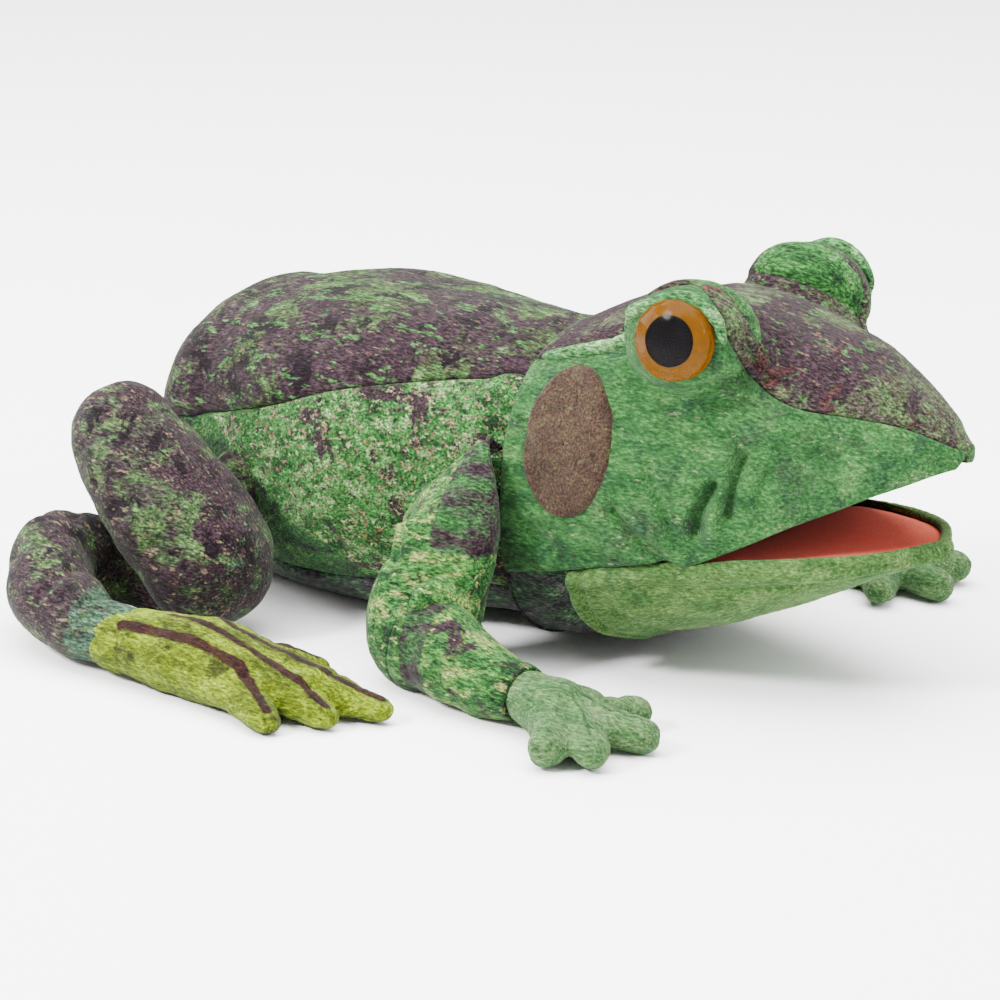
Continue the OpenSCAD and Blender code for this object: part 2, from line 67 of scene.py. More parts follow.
# Name, place and size in metres, and power in watts
LAMPS = [("key", (-0.6, -1.45, 1.3), 0.4, 95), ("top", (-0.1, 0.1, 2.0), 2.6, 290),
         ("fill", (1.7, 0.0, 1.2), 1.0, 36), ("side", (-1.7, -0.5, 0.9), 1.0, 32)]
LIT_POINT = Vector((0, 0, 0.05))
WHITE = (1, 1, 1, 1)
FLOOR_COLOUR = (0.97, 0.97, 0.97, 1)


def studio():
    azimuth, elevation, distance = math.radians(36), math.radians(17), 1.5
    look = Vector((-0.030, 0.0, 0.044))
    back = Vector((math.sin(azimuth) * math.cos(elevation), -math.cos(azimuth) * math.cos(elevation),
                   math.sin(elevation)))
    data = bpy.data.cameras.new("camera")
    data.lens = 135
    data.sensor_width = 36
    data.clip_start = 0.05
    camera = bpy.data.objects.new("camera", data)
    camera.location = look + back * distance
    camera.rotation_euler = back.to_track_quat("Z", "Y").to_euler()
    bpy.context.scene.collection.objects.link(camera)
    bpy.context.scene.camera = camera

    for name, place, size, power in LAMPS:
        lamp = bpy.data.lights.new(name, "AREA")
        lamp.size = size
        lamp.energy = power
        lamp_object = bpy.data.objects.new(name, lamp)
        lamp_object.location = place
        lamp_object.rotation_euler = (Vector(place) - LIT_POINT).to_track_quat("Z", "Y").to_euler()
        bpy.context.scene.collection.objects.link(lamp_object)

    world = bpy.data.worlds.new("studio")
    world.use_nodes = True
    world.node_tree.nodes["Background"].inputs["Color"].default_value = WHITE
    world.node_tree.nodes["Background"].inputs["Strength"].default_value = 0.65
    bpy.context.scene.world = world

    mesh = bpy.data.meshes.new("floor")
    mesh.from_pydata([(-8, -8, 0), (8, -8, 0), (8, 8, 0), (-8, 8, 0)], [], [(0, 1, 2, 3)])
    floor = bpy.data.objects.new("floor", mesh)
    bpy.context.scene.collection.objects.link(floor)
    paint = bpy.data.materials.new("floor")
    paint.use_nodes = True
    shader = paint.node_tree.nodes["Principled BSDF"]
    shader.inputs["Base Color"].default_value = FLOOR_COLOUR
    shader.inputs["Roughness"].default_value = 0.9
    mesh.materials.append(paint)


studio()


# ---- Curves, noise and meshes, in millimetres -------------------------------------------------

def ease(t):
    t = np.clip(t, 0, 1)
    return t * t * (3 - 2 * t)


def bell(x, middle, width):
    """1 at the middle, falling smoothly to nothing a few widths away."""
    return np.exp(-((x - middle) / width)**2)


def curve(stations, x):
    """Smooth curve through (x, value) stations, at every x."""
    px = np.array([s[0] for s in stations], float)
    py = np.array([s[1] for s in stations], float)
    last = len(px) - 1
    low = np.maximum(np.arange(last + 1) - 1, 0)
    high = np.minimum(np.arange(last + 1) + 1, last)
    slope = (py[high] - py[low]) / (px[high] - px[low])
    x = np.clip(x, px[0], px[-1])
    i = np.clip(np.searchsorted(px, x, "right") - 1, 0, last - 1)
    h = px[i + 1] - px[i]
    t = (x - px[i]) / h
    return ((2 * t**3 - 3 * t**2 + 1) * py[i] + (t**3 - 2 * t**2 + t) * h * slope[i]
            + (3 * t**2 - 2 * t**3) * py[i + 1] + (t**3 - t**2) * h * slope[i + 1])


GRADIENTS = np.array([(1, 1, 0), (-1, 1, 0), (1, -1, 0), (-1, -1, 0), (1, 0, 1), (-1, 0, 1), (1, 0, -1),
                      (-1, 0, -1), (0, 1, 1), (0, -1, 1), (0, 1, -1), (0, -1, -1)], float)


def noise(points, size, seed=0):
    """Gradient noise, about -1 to 1, with bumps of about this size in mm."""
    q = np.asarray(points, float) / size + seed * 7.31
    cell = np.floor(q).astype(np.int64)
    f = q - cell
    u = f * f * f * (f * (f * 6 - 15) + 10)
    total = 0
    for dx in (0, 1):
        for dy in (0, 1):
            for dz in (0, 1):
                c = cell + (dx, dy, dz)
                h = (c[..., 0] * 73856093) ^ (c[..., 1] * 19349663) ^ (c[..., 2] * 83492791)
                h = (h * 2654435761 + 12345) & 0xFFFFFFFF
                g = GRADIENTS[((h >> 13) ^ (h >> 5)) % 12]
                weight = (np.where(dx, u[..., 0], 1 - u[..., 0]) * np.where(dy, u[..., 1], 1 - u[..., 1])
                          * np.where(dz, u[..., 2], 1 - u[..., 2]))
                total = total + weight * (g * (f - (dx, dy, dz))).sum(-1)
    return total * 1.4


def unit(v):
    return v / np.maximum(np.linalg.norm(v, axis=-1, keepdims=True), 1e-9)


def grid_normals(p, ring, outward_from):
    """Normals of a grid of points, pointing away from a point, which may be one point for each row."""
    du = np.gradient(p, axis=0)
    dv = (np.roll(p, -1, 1) - np.roll(p, 1, 1)) if ring else np.gradient(p, axis=1)
    n = unit(np.cross(du, dv))
    centre = np.asarray(outward_from, float)
    if centre.ndim == 2:
        centre = centre[:, None, :]
    return n if (n * (p - centre)).sum() > 0 else -n


def resample(p, count, ring=False):
    """The points of each row spread evenly along it."""
    rows = []
    for row in p:
        line = np.vstack([row, row[:1]]) if ring else row
        s = np.concatenate([[0], np.cumsum(np.linalg.norm(np.diff(line, axis=0), axis=1))])
        t = np.linspace(0, s[-1], count + 1)[:-1] if ring else np.linspace(0, s[-1], count)
        rows.append(np.stack([np.interp(t, s, line[:, k]) for k in range(3)], -1))
    return np.array(rows)


def add_object(name, vertices, faces, material):
    mesh = bpy.data.meshes.new(name)
    mesh.from_pydata((np.asarray(vertices) * MM).tolist(), [], [list(f) for f in faces])
    mesh.validate()
    work = bmesh.new()
    work.from_mesh(mesh)
    bmesh.ops.recalc_face_normals(work, faces=work.faces)
    work.to_mesh(mesh)
    work.free()
    mesh.polygons.foreach_set("use_smooth", [True] * len(mesh.polygons))
    piece = bpy.data.objects.new(name, mesh)
    bpy.context.scene.collection.objects.link(piece)
    mesh.materials.append(material)
    return piece


def strip(a, b, n, ring):
    """Quads between two rows of n points that start at index a and b."""
    j = np.arange(n if ring else n - 1)
    k = (j + 1) % n
    return np.stack([a + j, a + k, b + k, b + j], -1)


def shell(name, outer, inner, material, ring=False):
    """Closed sheet of fabric between an outer and an inner grid of points."""
    m, n = outer.shape[:2]
    total = m * n
    out = np.concatenate([strip(i * n, (i + 1) * n, n, ring) for i in range(m - 1)])
    rims = [strip(0, total, n, ring), strip((m - 1) * n, total + (m - 1) * n, n, ring)]
    faces = [out, out[:, ::-1] + total] + rims
    if not ring:
        rows = np.arange(m - 1) * n
        for c in (0, n - 1):
            faces.append(np.stack([rows + c, rows + n + c, rows + n + c + total, rows + c + total], -1))
    return add_object(name, np.concatenate([outer.reshape(-1, 3), inner.reshape(-1, 3)]),
                      np.concatenate(faces), material)


def closed_tube(name, rings, material):
    """Closed body through rings of points, with a fan over each end."""
    m, n = rings.shape[:2]
    body = np.concatenate([strip(i * n, (i + 1) * n, n, True) for i in range(m - 1)]).tolist()
    j = np.arange(n)
    k = (j + 1) % n
    total = m * n
    body += np.stack([k, j, np.full(n, total)], -1).tolist()
    body += np.stack([(m - 1) * n + j, (m - 1) * n + k, np.full(n, total + 1)], -1).tolist()
    points = np.concatenate([rings.reshape(-1, 3), [rings[0].mean(0)], [rings[-1].mean(0)]])
    return add_object(name, points, body, material)


def edge_tuck(distance, width, depth):
    """How far a panel turns in at this distance from its seam."""
    t = np.clip(distance / width, 0, 1)
    return depth * (1 - np.sqrt(np.clip(1 - (1 - t)**2, 0, 1)))


def distance_along(p, axis):
    """Distance of every point of a grid from its first row (axis 0) or its first column (axis 1)."""
    length = np.cumsum(np.linalg.norm(np.diff(p, axis=axis), axis=2), axis=axis)
    return np.concatenate([np.zeros_like(length.take([0], axis)), length], axis)


def row_distance(p):
    """Distance of every point of a grid from the first and the last point of its row."""
    s = distance_along(p, 1)
    return s, s[:, -1:] - s


def pile(p, amount=0.16):
    """Small lumps that the pile's tufts make."""
    return amount * (0.6 * noise(p, 2.6, 3) + 0.6 * noise(p, 1.3, 5))


# ---- Materials --------------------------------------------------------------------------------

TUFT = 0.9                         # size of a tuft of the pile, in mm
SOLID_IOR = 1.45
CLEAR_IOR = 1.10                   # low, because a stronger reflection veils the iris


def nodes_of(name):
    material = bpy.data.materials.new(name)
    material.use_nodes = True
    tree = material.node_tree
    return material, tree, tree.nodes["Principled BSDF"]


def node(tree, kind, inputs=None, **settings):
    made = tree.nodes.new(kind)
    for key, value in settings.items():
        setattr(made, key, value)
    for key, value in (inputs or {}).items():
        if isinstance(value, bpy.types.NodeSocket):
            tree.links.new(value, made.inputs[key])
        else:
            made.inputs[key].default_value = value
    return made


def noise_node(tree, vector, size_mm, detail=4, rough=0.55, distort=0.0):
    return node(tree, "ShaderNodeTexNoise", {"Vector": vector, "Scale": 1000 / size_mm, "Detail": detail,
                                             "Roughness": rough, "Distortion": distort}).outputs["Fac"]


def ramp(tree, fac, stops):
    made = node(tree, "ShaderNodeValToRGB", {"Fac": fac})
    while len(made.color_ramp.elements) < len(stops):
        made.color_ramp.elements.new(0.5)
    for element, (place, colour) in zip(made.color_ramp.elements, stops):
        element.position = place
        element.color = (*colour, 1) if len(colour) == 3 else colour
    return made.outputs["Color"]


def step(tree, fac, low, high):
    made = node(tree, "ShaderNodeMapRange", {"Value": fac, "From Min": low, "From Max": high},
                interpolation_type="SMOOTHSTEP")
    return made.outputs["Result"]


def mix(tree, fac, a, b, blend="MIX"):
    made = tree.nodes.new("ShaderNodeMix")
    made.data_type = "RGBA"
    made.blend_type = blend
    for key, value in ((0, fac), (6, a), (7, b)):
        if isinstance(value, bpy.types.NodeSocket):
            tree.links.new(value, made.inputs[key])
        elif key:
            made.inputs[key].default_value = (*value, 1)
        else:
            made.inputs[key].default_value = value
    return made.outputs[2]


def combine(tree, operation, a, b):
    return node(tree, "ShaderNodeMath", {0: a, 1: b}, operation=operation).outputs[0]


def mapped(tree, vector, **settings):
    """The vector after a Mapping node with this Location, Rotation or Scale."""
    return node(tree, "ShaderNodeMapping", {"Vector": vector, **settings}).outputs["Vector"]


def spread(tree, tone, colours, contrast):
    """Colours from dark to light over the middle of a tone."""
    last = len(colours) - 1
    return ramp(tree, tone, [(0.5 + 0.26 * (i / last - 0.5) / contrast, c) for i, c in enumerate(colours)])


def plush(name, ground, patches=(), flecks=(), turn=(0, 0, 0), stretch=3.0, bright=0.37, marked=None,
          contrast=1.0):
    """Printed short-pile plush.
    ground: colours from dark to light. patches: (colour, size mm, low, high) laid over where noise is high.
    flecks: (colour, size mm, threshold, strength). turn: which way the pile lies. stretch: how long it lies.
    bright: the strength of the whole print. marked: colours where the piece's own mark is high.
    contrast: under 1 for a softer print."""
    material, tree, shader = nodes_of(name)
    place = node(tree, "ShaderNodeTexCoord").outputs["Object"]
    laid = mapped(tree, place, Rotation=turn, Scale=(1 / stretch, 1, 1))
    tone = noise_node(tree, laid, 9, 7, 0.72, 0.3)
    colour = spread(tree, tone, ground, contrast)
    for i, (shade, size, low, high) in enumerate(patches):
        moved = mapped(tree, place, Location=(0.37 * i, 0.21 * i, 0.11 * i))
        mask = step(tree, noise_node(tree, moved, size, 9, 0.66, 0.4), low, high)
        colour = mix(tree, mask, colour, shade)
    for i, (shade, size, limit, strength) in enumerate(flecks):
        moved = mapped(tree, laid, Location=(0.13 * i + 0.4, 0.31 * i, 0.17 * i))
        speck = step(tree, noise_node(tree, moved, size, 3, 0.6), limit, limit + 0.05)
        colour = mix(tree, combine(tree, "MULTIPLY", speck, strength), colour, shade)
    if marked:
        own = node(tree, "ShaderNodeAttribute", attribute_name="mark").outputs["Fac"]
        ragged = combine(tree, "ADD", noise_node(tree, laid, 7, 6, 0.7), own)
        colour = mix(tree, step(tree, ragged, 0.88, 1.12), colour, spread(tree, tone, marked, contrast))
    reach = 0.16 / contrast
    tufts = [(0.5 - reach, (0.10 * bright,) * 3), (0.5, (0.62 * bright,) * 3),
             (0.5 + reach, (1.70 * bright,) * 3)]
    tuft = noise_node(tree, laid, TUFT, 3, 0.7)
    colour = mix(tree, 1.0, colour, ramp(tree, tuft, tufts), "MULTIPLY")
    tree.links.new(colour, shader.inputs["Base Color"])
    shader.inputs["Roughness"].default_value = 0.92
    shader.inputs["Specular IOR Level"].default_value = 0.06
    shader.inputs["Sheen Weight"].default_value = 0.05
    shader.inputs["Sheen Roughness"].default_value = 0.45
    shader.inputs["Sheen Tint"].default_value = (0.85, 1.0, 0.85, 1)
    height = noise_node(tree, laid, TUFT, 4, 0.7)
    bump = node(tree, "ShaderNodeBump", {"Height": height, "Strength": 0.75, "Distance": 0.0008})
    tree.links.new(bump.outputs["Normal"], shader.inputs["Normal"])
    return material


PURPLE = (0.022, 0.012, 0.019)
PLUM = (0.066, 0.036, 0.048)
FOREST = (0.018, 0.060, 0.020)
GRASS = (0.050, 0.215, 0.045)
LEAF = (0.095, 0.330, 0.075)
MINT = (0.21, 0.50, 0.15)
PALE = (0.50, 0.68, 0.30)
TAN = (0.40, 0.28, 0.17)
ORANGE = (0.50, 0.13, 0.05)
CORAL = (0.36, 0.062, 0.036)
DUSK = (0.13, 0.105, 0.09)

back_plush = plush("back_plush", [PURPLE, (0.09, 0.10, 0.05), (0.10, 0.22, 0.06), (0.26, 0.40, 0.15)],
                   patches=[(PLUM, 30, 0.44, 0.52), (PURPLE, 13, 0.53, 0.59), (DUSK, 7, 0.58, 0.66)],
                   flecks=[(TAN, 2.6, 0.63, 0.5), (LEAF, 4.0, 0.59, 0.7), (MINT, 3.0, 0.64, 0.6),
                           (ORANGE, 3.5, 0.69, 0.4)])
flank_plush = plush("flank_plush", [FOREST, GRASS, LEAF, (0.30, 0.56, 0.20)],
                    patches=[(PLUM, 26, 0.53, 0.59), (PURPLE, 11, 0.60, 0.65)],
                    flecks=[(TAN, 2.4, 0.56, 0.8), (PALE, 2.6, 0.58, 0.8), (PLUM, 2.8, 0.60, 0.9),
                            (ORANGE, 4.0, 0.68, 0.8)],
                    stretch=1.3, marked=[PURPLE, (0.05, 0.13, 0.05), GRASS, (0.20, 0.34, 0.12)])
belly_plush = plush("belly_plush",
                    [(0.05, 0.04, 0.05), (0.10, 0.09, 0.10), (0.07, 0.16, 0.08), (0.22, 0.34, 0.18)],
                    patches=[((0.15, 0.12, 0.15), 26, 0.50, 0.60)], flecks=[(PURPLE, 3.0, 0.60, 0.8)])
cheek_plush = plush("cheek_plush",
                    [(0.03, 0.11, 0.035), (0.065, 0.25, 0.065), (0.12, 0.38, 0.10), (0.30, 0.58, 0.20)],
                    patches=[((0.085, 0.17, 0.075), 24, 0.52, 0.66), ((0.05, 0.15, 0.07), 14, 0.50, 0.66),
                             ((0.10, 0.11, 0.06), 9, 0.60, 0.72)],
                    flecks=[(PALE, 1.8, 0.63, 0.5), (FOREST, 2.4, 0.64, 0.5)], turn=(0, math.radians(-50), 0),
                    contrast=0.6, bright=0.33)
ridge_plush = plush("ridge_plush", [(0.06, 0.24, 0.07), (0.14, 0.42, 0.13), (0.34, 0.66, 0.25)],
                    flecks=[(FOREST, 2.5, 0.62, 0.6)])
crown_plush = plush("crown_plush", [PURPLE, (0.12, 0.10, 0.08), (0.13, 0.19, 0.08), (0.26, 0.36, 0.15)],
                    patches=[(PLUM, 24, 0.44, 0.54), ((0.13, 0.05, 0.05), 14, 0.56, 0.64)],
                    flecks=[(LEAF, 3.0, 0.60, 0.7), (TAN, 2.2, 0.62, 0.5)],
                    marked=[FOREST, GRASS, LEAF, MINT])
eardrum_plush = plush("eardrum_plush", [(0.10, 0.055, 0.045), (0.17, 0.10, 0.07), (0.24, 0.17, 0.09)],
                      flecks=[((0.20, 0.26, 0.08), 2.0, 0.60, 0.5)], stretch=1.0, contrast=0.65, bright=0.29)
chin_plush = plush("chin_plush",
                   [(0.05, 0.15, 0.04), (0.12, 0.30, 0.07), (0.24, 0.46, 0.12), (0.42, 0.62, 0.24)],
                   patches=[((0.09, 0.25, 0.08), 22, 0.53, 0.68)], flecks=[(PALE, 2.0, 0.64, 0.4)],
                   contrast=0.55, bright=0.32)
arm_plush = plush("arm_plush", [FOREST, GRASS, (0.12, 0.34, 0.07), (0.42, 0.58, 0.16)],
                  patches=[(PLUM, 20, 0.56, 0.63)],
                  flecks=[((0.52, 0.56, 0.18), 2.8, 0.58, 0.8), (PURPLE, 3.0, 0.61, 0.8),
                          (ORANGE, 3.6, 0.68, 0.8)],
                  turn=(0, math.radians(75), 0), marked=[PURPLE, PLUM, (0.07, 0.14, 0.06), GRASS])
leg_plush = plush("leg_plush",
                  [(0.03, 0.025, 0.03), (0.08, 0.06, 0.06), (0.09, 0.17, 0.06), (0.22, 0.36, 0.12)],
                  patches=[(PLUM, 22, 0.45, 0.54), (PURPLE, 12, 0.55, 0.61)],
                  flecks=[(TAN, 2.2, 0.60, 0.6), (MINT, 2.6, 0.63, 0.5)],
                  marked=[PURPLE, (0.06, 0.13, 0.08), (0.09, 0.20, 0.12), (0.20, 0.34, 0.20)])
hand_plush = plush("hand_plush",
                   [(0.06, 0.19, 0.06), (0.15, 0.38, 0.12), (0.30, 0.55, 0.20), (0.50, 0.72, 0.36)],
                   flecks=[(FOREST, 2.6, 0.62, 0.5)], marked=[(0.04, 0.12, 0.05), (0.07, 0.20, 0.07), GRASS],
                   contrast=0.6, bright=0.27)
foot_plush = plush("foot_plush",
                   [(0.07, 0.10, 0.006), (0.17, 0.24, 0.008), (0.33, 0.46, 0.012), (0.50, 0.68, 0.04)],
                   patches=[((0.085, 0.105, 0.012), 16, 0.54, 0.64)],
                   marked=[(0.02, 0.006, 0.008), (0.055, 0.018, 0.014), (0.09, 0.045, 0.012)], contrast=0.7)

def two_tone(tree, size, detail, rough, shade, dark, light):
    """The shade made darker and lighter by these factors, in noise of this size."""
    place = node(tree, "ShaderNodeTexCoord").outputs["Object"]
    stops = [(0.3, tuple(dark * c for c in shade)), (0.7, tuple(min(light * c, 1) for c in shade))]
    return place, ramp(tree, noise_node(tree, place, size, detail, rough), stops)


def velour(name, shade, size=0.8):
    material, tree, shader = nodes_of(name)
    place, tone = two_tone(tree, size, 4, 0.7, shade, 0.68, 1.25)
    tree.links.new(tone, shader.inputs["Base Color"])
    shader.inputs["Roughness"].default_value = 0.88
    shader.inputs["Sheen Weight"].default_value = 0.05
    shader.inputs["Specular IOR Level"].default_value = 0.08
    height = noise_node(tree, place, size * 0.6, 4, 0.7)
    bump = node(tree, "ShaderNodeBump", {"Height": height, "Strength": 0.4, "Distance": 0.0003})
    tree.links.new(bump.outputs["Normal"], shader.inputs["Normal"])
    return material


def plastic(name, shade, rough, clear=0.0, vary=0.2, gloss=0.5, grain=5.0):
    material, tree, shader = nodes_of(name)
    _, tone = two_tone(tree, grain, 5, 0.6, shade, 1 - vary, 1 + vary)
    tree.links.new(tone, shader.inputs["Base Color"])
    shader.inputs["Roughness"].default_value = rough
    shader.inputs["Specular IOR Level"].default_value = gloss
    shader.inputs["Transmission Weight"].default_value = clear
    shader.inputs["IOR"].default_value = CLEAR_IOR if clear else SOLID_IOR
    return material


mouth_velour = velour("mouth_velour", CORAL)
lining_cloth = velour("lining_cloth", (0.07, 0.085, 0.07), 0.5)
eye_black = plastic("eye_black", (0.002, 0.0015, 0.002), 0.5, gloss=0.05)
eye_amber = plastic("eye_amber", (0.095, 0.036, 0.002), 0.8, vary=0.35, gloss=0.03, grain=1.6)
eye_clear = plastic("eye_clear", (1, 1, 1), 0.0, 1.0, vary=0.01)
washer_plastic = plastic("washer_plastic", (0.75, 0.75, 0.72), 0.4)
card = velour("card", (0.55, 0.48, 0.35), 1.5)


# ---- How pieces are declared --------------------------------------------------------------------

def points(*values):
    return [tuple(c * MM for c in v) for v in values]


def soft_piece(piece, body=None, across=None, replaced=()):
    """A stuffed piece, parented to its body's empty. across is (body, body, start, end) for one that lies
    over a joint: such a piece is not parented but has its transform baked in, and what across holds is not
    used.
    """
    if across:
        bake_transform(piece)
    else:
        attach(piece, body)
    if replaced:
        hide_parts(*replaced)
    return piece


def lining_piece(name, p, outward_from, relief, body, replaced, ring=False):
    """A sheet of lining cloth through a grid of points."""
    n = grid_normals(p, ring, outward_from)
    p = p + n * relief[..., None]
    piece = shell(name, p, p - n * LINING, lining_cloth, ring=ring)
    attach(piece, body)
    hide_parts(replaced)


def mark(piece, values):
    """Gives each point of a piece its own mark, which some materials colour by."""
    values = np.concatenate([np.asarray(values, float).ravel()] * 2)
    values = np.resize(values, len(piece.data.vertices))
    layer = piece.data.attributes.new("mark", "FLOAT", "POINT")
    layer.data.foreach_set("value", values.astype(np.float32))


def segment_distance(p, a, b):
    a, b = np.asarray(a, float), np.asarray(b, float)
    t = np.clip(((p - a) @ (b - a)) / ((b - a) @ (b - a)), 0, 1)
    return np.linalg.norm(p - a - t[..., None] * (b - a), axis=-1)


def crease(p, line, width, depth):
    """Depth at p of a fold along a line of points."""
    near = np.min([segment_distance(p, a, b) for a, b in zip(line[:-1], line[1:])], axis=0)
    return -depth * bell(near, 0, width)


def side_crease(p, line, width, depth):
    """A fold given by its place in the side view."""
    flat = np.array([1.0, 0, 1.0])
    return crease(p * flat, [np.array([x, 0, z], float) for x, z in line], width, depth)


# ---- Torso ------------------------------------------------------------------------------------

NECK = np.array([-5.0, 0, 64])
BALL = 60.0
RUMP_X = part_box("back_panel")[0].x / MM
CAP_X = RUMP_X + 28
TORSO_TOP = [(-138, 118), (-110, 124), (-80, 126), (-45, 125.5), (-5, 124)]


def section(x, a, w, zb, zw, zt, k):
    """Rounded section: angle 0 is the right side, 90 the top, 180 the left side, 270 the bottom."""
    x, a = np.broadcast_arrays(x, a)
    c, s = np.cos(np.radians(a)), np.sin(np.radians(a))
    y = -w * np.sign(c) * np.abs(c) ** (2 / k)
    z = zw + np.where(s >= 0, zt - zw, zw - zb) * np.sign(s) * np.abs(s) ** (2 / k)
    return np.stack([x, y, z], -1)


def torso_section(x, a):
    w = BALL + 8 * ease((-16 - x) / 50) - 16 * ease((-80 - x) / 80)
    p = section(x, a, w, 4 - 7 * ease((NECK[0] - x) / 60), NECK[2], curve(TORSO_TOP, x),
                2 + 0.4 * ease((NECK[0] - x) / 70))
    p[..., 2] = np.maximum(p[..., 2], 0.6)
    return p


def sleeve_point(x, a, d=0.0):
    x, a = np.broadcast_arrays(x, np.radians(a))
    return np.stack([x, -(44 - d) * np.cos(a), 60 + (33 - d) * np.sin(a)], -1)


def torso_point(s, a):
    """s runs from the hand opening (0) over the rump (1), along the back (2) to the neck's rim (3)."""
    s, a = np.broadcast_arrays(s, a)
    turn = np.radians(90 * np.clip(s, 0, 1))
    opening, cap = sleeve_point(RUMP_X, a), torso_section(np.full(s.shape, CAP_X), a)
    rump = opening + (cap - opening) * np.sin(turn)[..., None]
    rump[..., 0] = CAP_X - (CAP_X - RUMP_X) * np.cos(turn)
    body = torso_section(CAP_X + (NECK[0] - CAP_X) * np.clip(s - 1, 0, 1), a)
    t = np.radians(90 - 40 * np.clip(s - 2, 0, 1))
    ar = np.radians(a)
    ball = NECK + BALL * np.stack([np.cos(t), -np.sin(t) * np.cos(ar), np.sin(t) * np.sin(ar)], -1)
    return np.where((s <= 1)[..., None], rump, np.where((s <= 2)[..., None], body, ball))


def panel_grid(surface, rows, low, high):
    """Even grid over a surface between two seams, with one row for each value in rows."""
    a0, a1 = low(rows)[:, None], high(rows)[:, None]
    p = surface(rows[:, None], a0 + (a1 - a0) * np.linspace(0, 1, 200)[None, :])
    width = np.linalg.norm(np.diff(p, axis=1), axis=2).sum(1).max()
    return resample(p, int(width / GRID))


def torso_panel(name, low, high, material, replaced, seed, creases=(), marked=None):
    """A sewn panel of the torso between two seams, given as angles along s."""
    s = np.concatenate([np.linspace(0, 1, 26), np.linspace(1, 2, int(135 / GRID))[1:],
                        np.linspace(2, 3, int(42 / GRID))[1:]])
    p = panel_grid(torso_point, s, low, high)
    middle = np.clip(p[:, :, 0].mean(1), RUMP_X + 30, 20)
    axis = np.stack([middle, np.zeros(len(p)), np.full(len(p), 62.0)], -1)
    n = grid_normals(p, False, axis)
    d = np.minimum(*row_distance(p))
    free = ease((18 - p[..., 0]) / 20)
    lumps = (1.5 * noise(p, 46, seed) + 0.7 * noise(p, 19, seed + 2)) * free
    puff = 1.1 * ease(d / 14) * free - edge_tuck(d, 2.6, 1.3)
    for line, width, depth in creases:
        puff = puff + crease(p, line, width, depth) * free
    off_floor = ease((p[..., 2] - 3) / 14)
    out = p + n * ((lumps + puff) * off_floor + (pile(p) - 0.1) * free)[..., None]
    out[..., 2] = np.maximum(out[..., 2], 0.15)
    piece = shell(name, out, out - n * FABRIC, material)
    if marked:
        mark(piece, marked(p))
    return soft_piece(piece, "torso", replaced=replaced)


def back_seam(s):
    return 6 + 46 * ease((s - 0.8) / 1.5)


def belly_seam(s):
    return np.full(np.shape(s), -40.0)


def lower_flank(p):
    """High under the diagonal seam that runs from the rump down to the front leg."""
    return ease((86 - 0.62 * (p[..., 0] + 150) - p[..., 2] + 2) / 4)


FLANK_SEAM = [[(-150, y, 84), (-100, y, 60), (-50, y, 30)] for y in (-64, 64)]
torso_panel("torso_back", back_seam, lambda s: 180 - back_seam(s), back_plush,
            ["back_panel", "torso_stuffing"], 1)
torso_panel("torso_flank_right", belly_seam, back_seam, flank_plush, ["right_flank_panel"], 2,
            [(FLANK_SEAM[0], 3.0, 1.4)], lower_flank)
torso_panel("torso_flank_left", lambda s: 180 - back_seam(s), lambda s: 180 - belly_seam(s), flank_plush,
            ["left_flank_panel"], 3, [(FLANK_SEAM[1], 3.0, 1.4)], lower_flank)
torso_panel("torso_belly", lambda s: 180 - belly_seam(s), lambda s: 360 + belly_seam(s), belly_plush,
            ["belly_panel"], 4)


# ---- Head ---------------------------------------------------------------------------------------

HEAD_W = [(16, 62.5), (34, 63.5), (60, 63), (86, 59), (117, 47), (141, 34), (159, 22), (172, 13), (179, 7)]
HEAD_TOP = [(16, 127.5), (40, 137), (72, 145), (95, 144), (117, 138), (141, 130), (159, 120), (172, 110),
            (179, 104)]
HEAD_WIDE = [(16, 63), (46, 59), (86, 55), (130, 76), (172, 96), (179, 99)]
HEAD_BOTTOM = [(16, 2), (40, 5), (66, 13), (90, 20), (115, 30), (140, 43), (171, 57)]
MOUTH_SEAM = [(16, 38), (46, 45), (86, 55)]
HEAD_SEAM = [(16, 56), (40, 54), (62, 58), (76, 62), (88, 64), (100, 58), (112, 47), (126, 39), (140, 37),
             (179, 42)]
HEAD_AXIS = [(16, 66), (60, 75), (100, 84), (140, 90), (179, 99)]
HEAD_K = 2.5
TIP_X = 179.0
TIP = np.array([TIP_X, 0, 100.5])
FOLD = np.array([82.0, 0, 53])
PALATE_SLOPE, JAW_SLOPE = math.tan(math.radians(25)), math.tan(math.radians(6))
EYE = np.array([89.5, -55, 140])
EYE_R = 15.0
EYE_OUT = np.array([0.1378, -0.9806, 0.1392])
EYE_FORE = unit(np.cross((0, 0, 1), EYE_OUT))
EYE_UP = np.cross(EYE_OUT, EYE_FORE)
MOUND = np.array([89.0, 40.5, 137])
MOUND_SIZE = np.array([28.0, 20.0, 21.0])
MOUND_FRONT = 22.5


def flip(v, side):
    """A right-hand point or direction, or its mirror image on the left."""
    return np.asarray(v, float) * (1, -SIDES[side], 1)


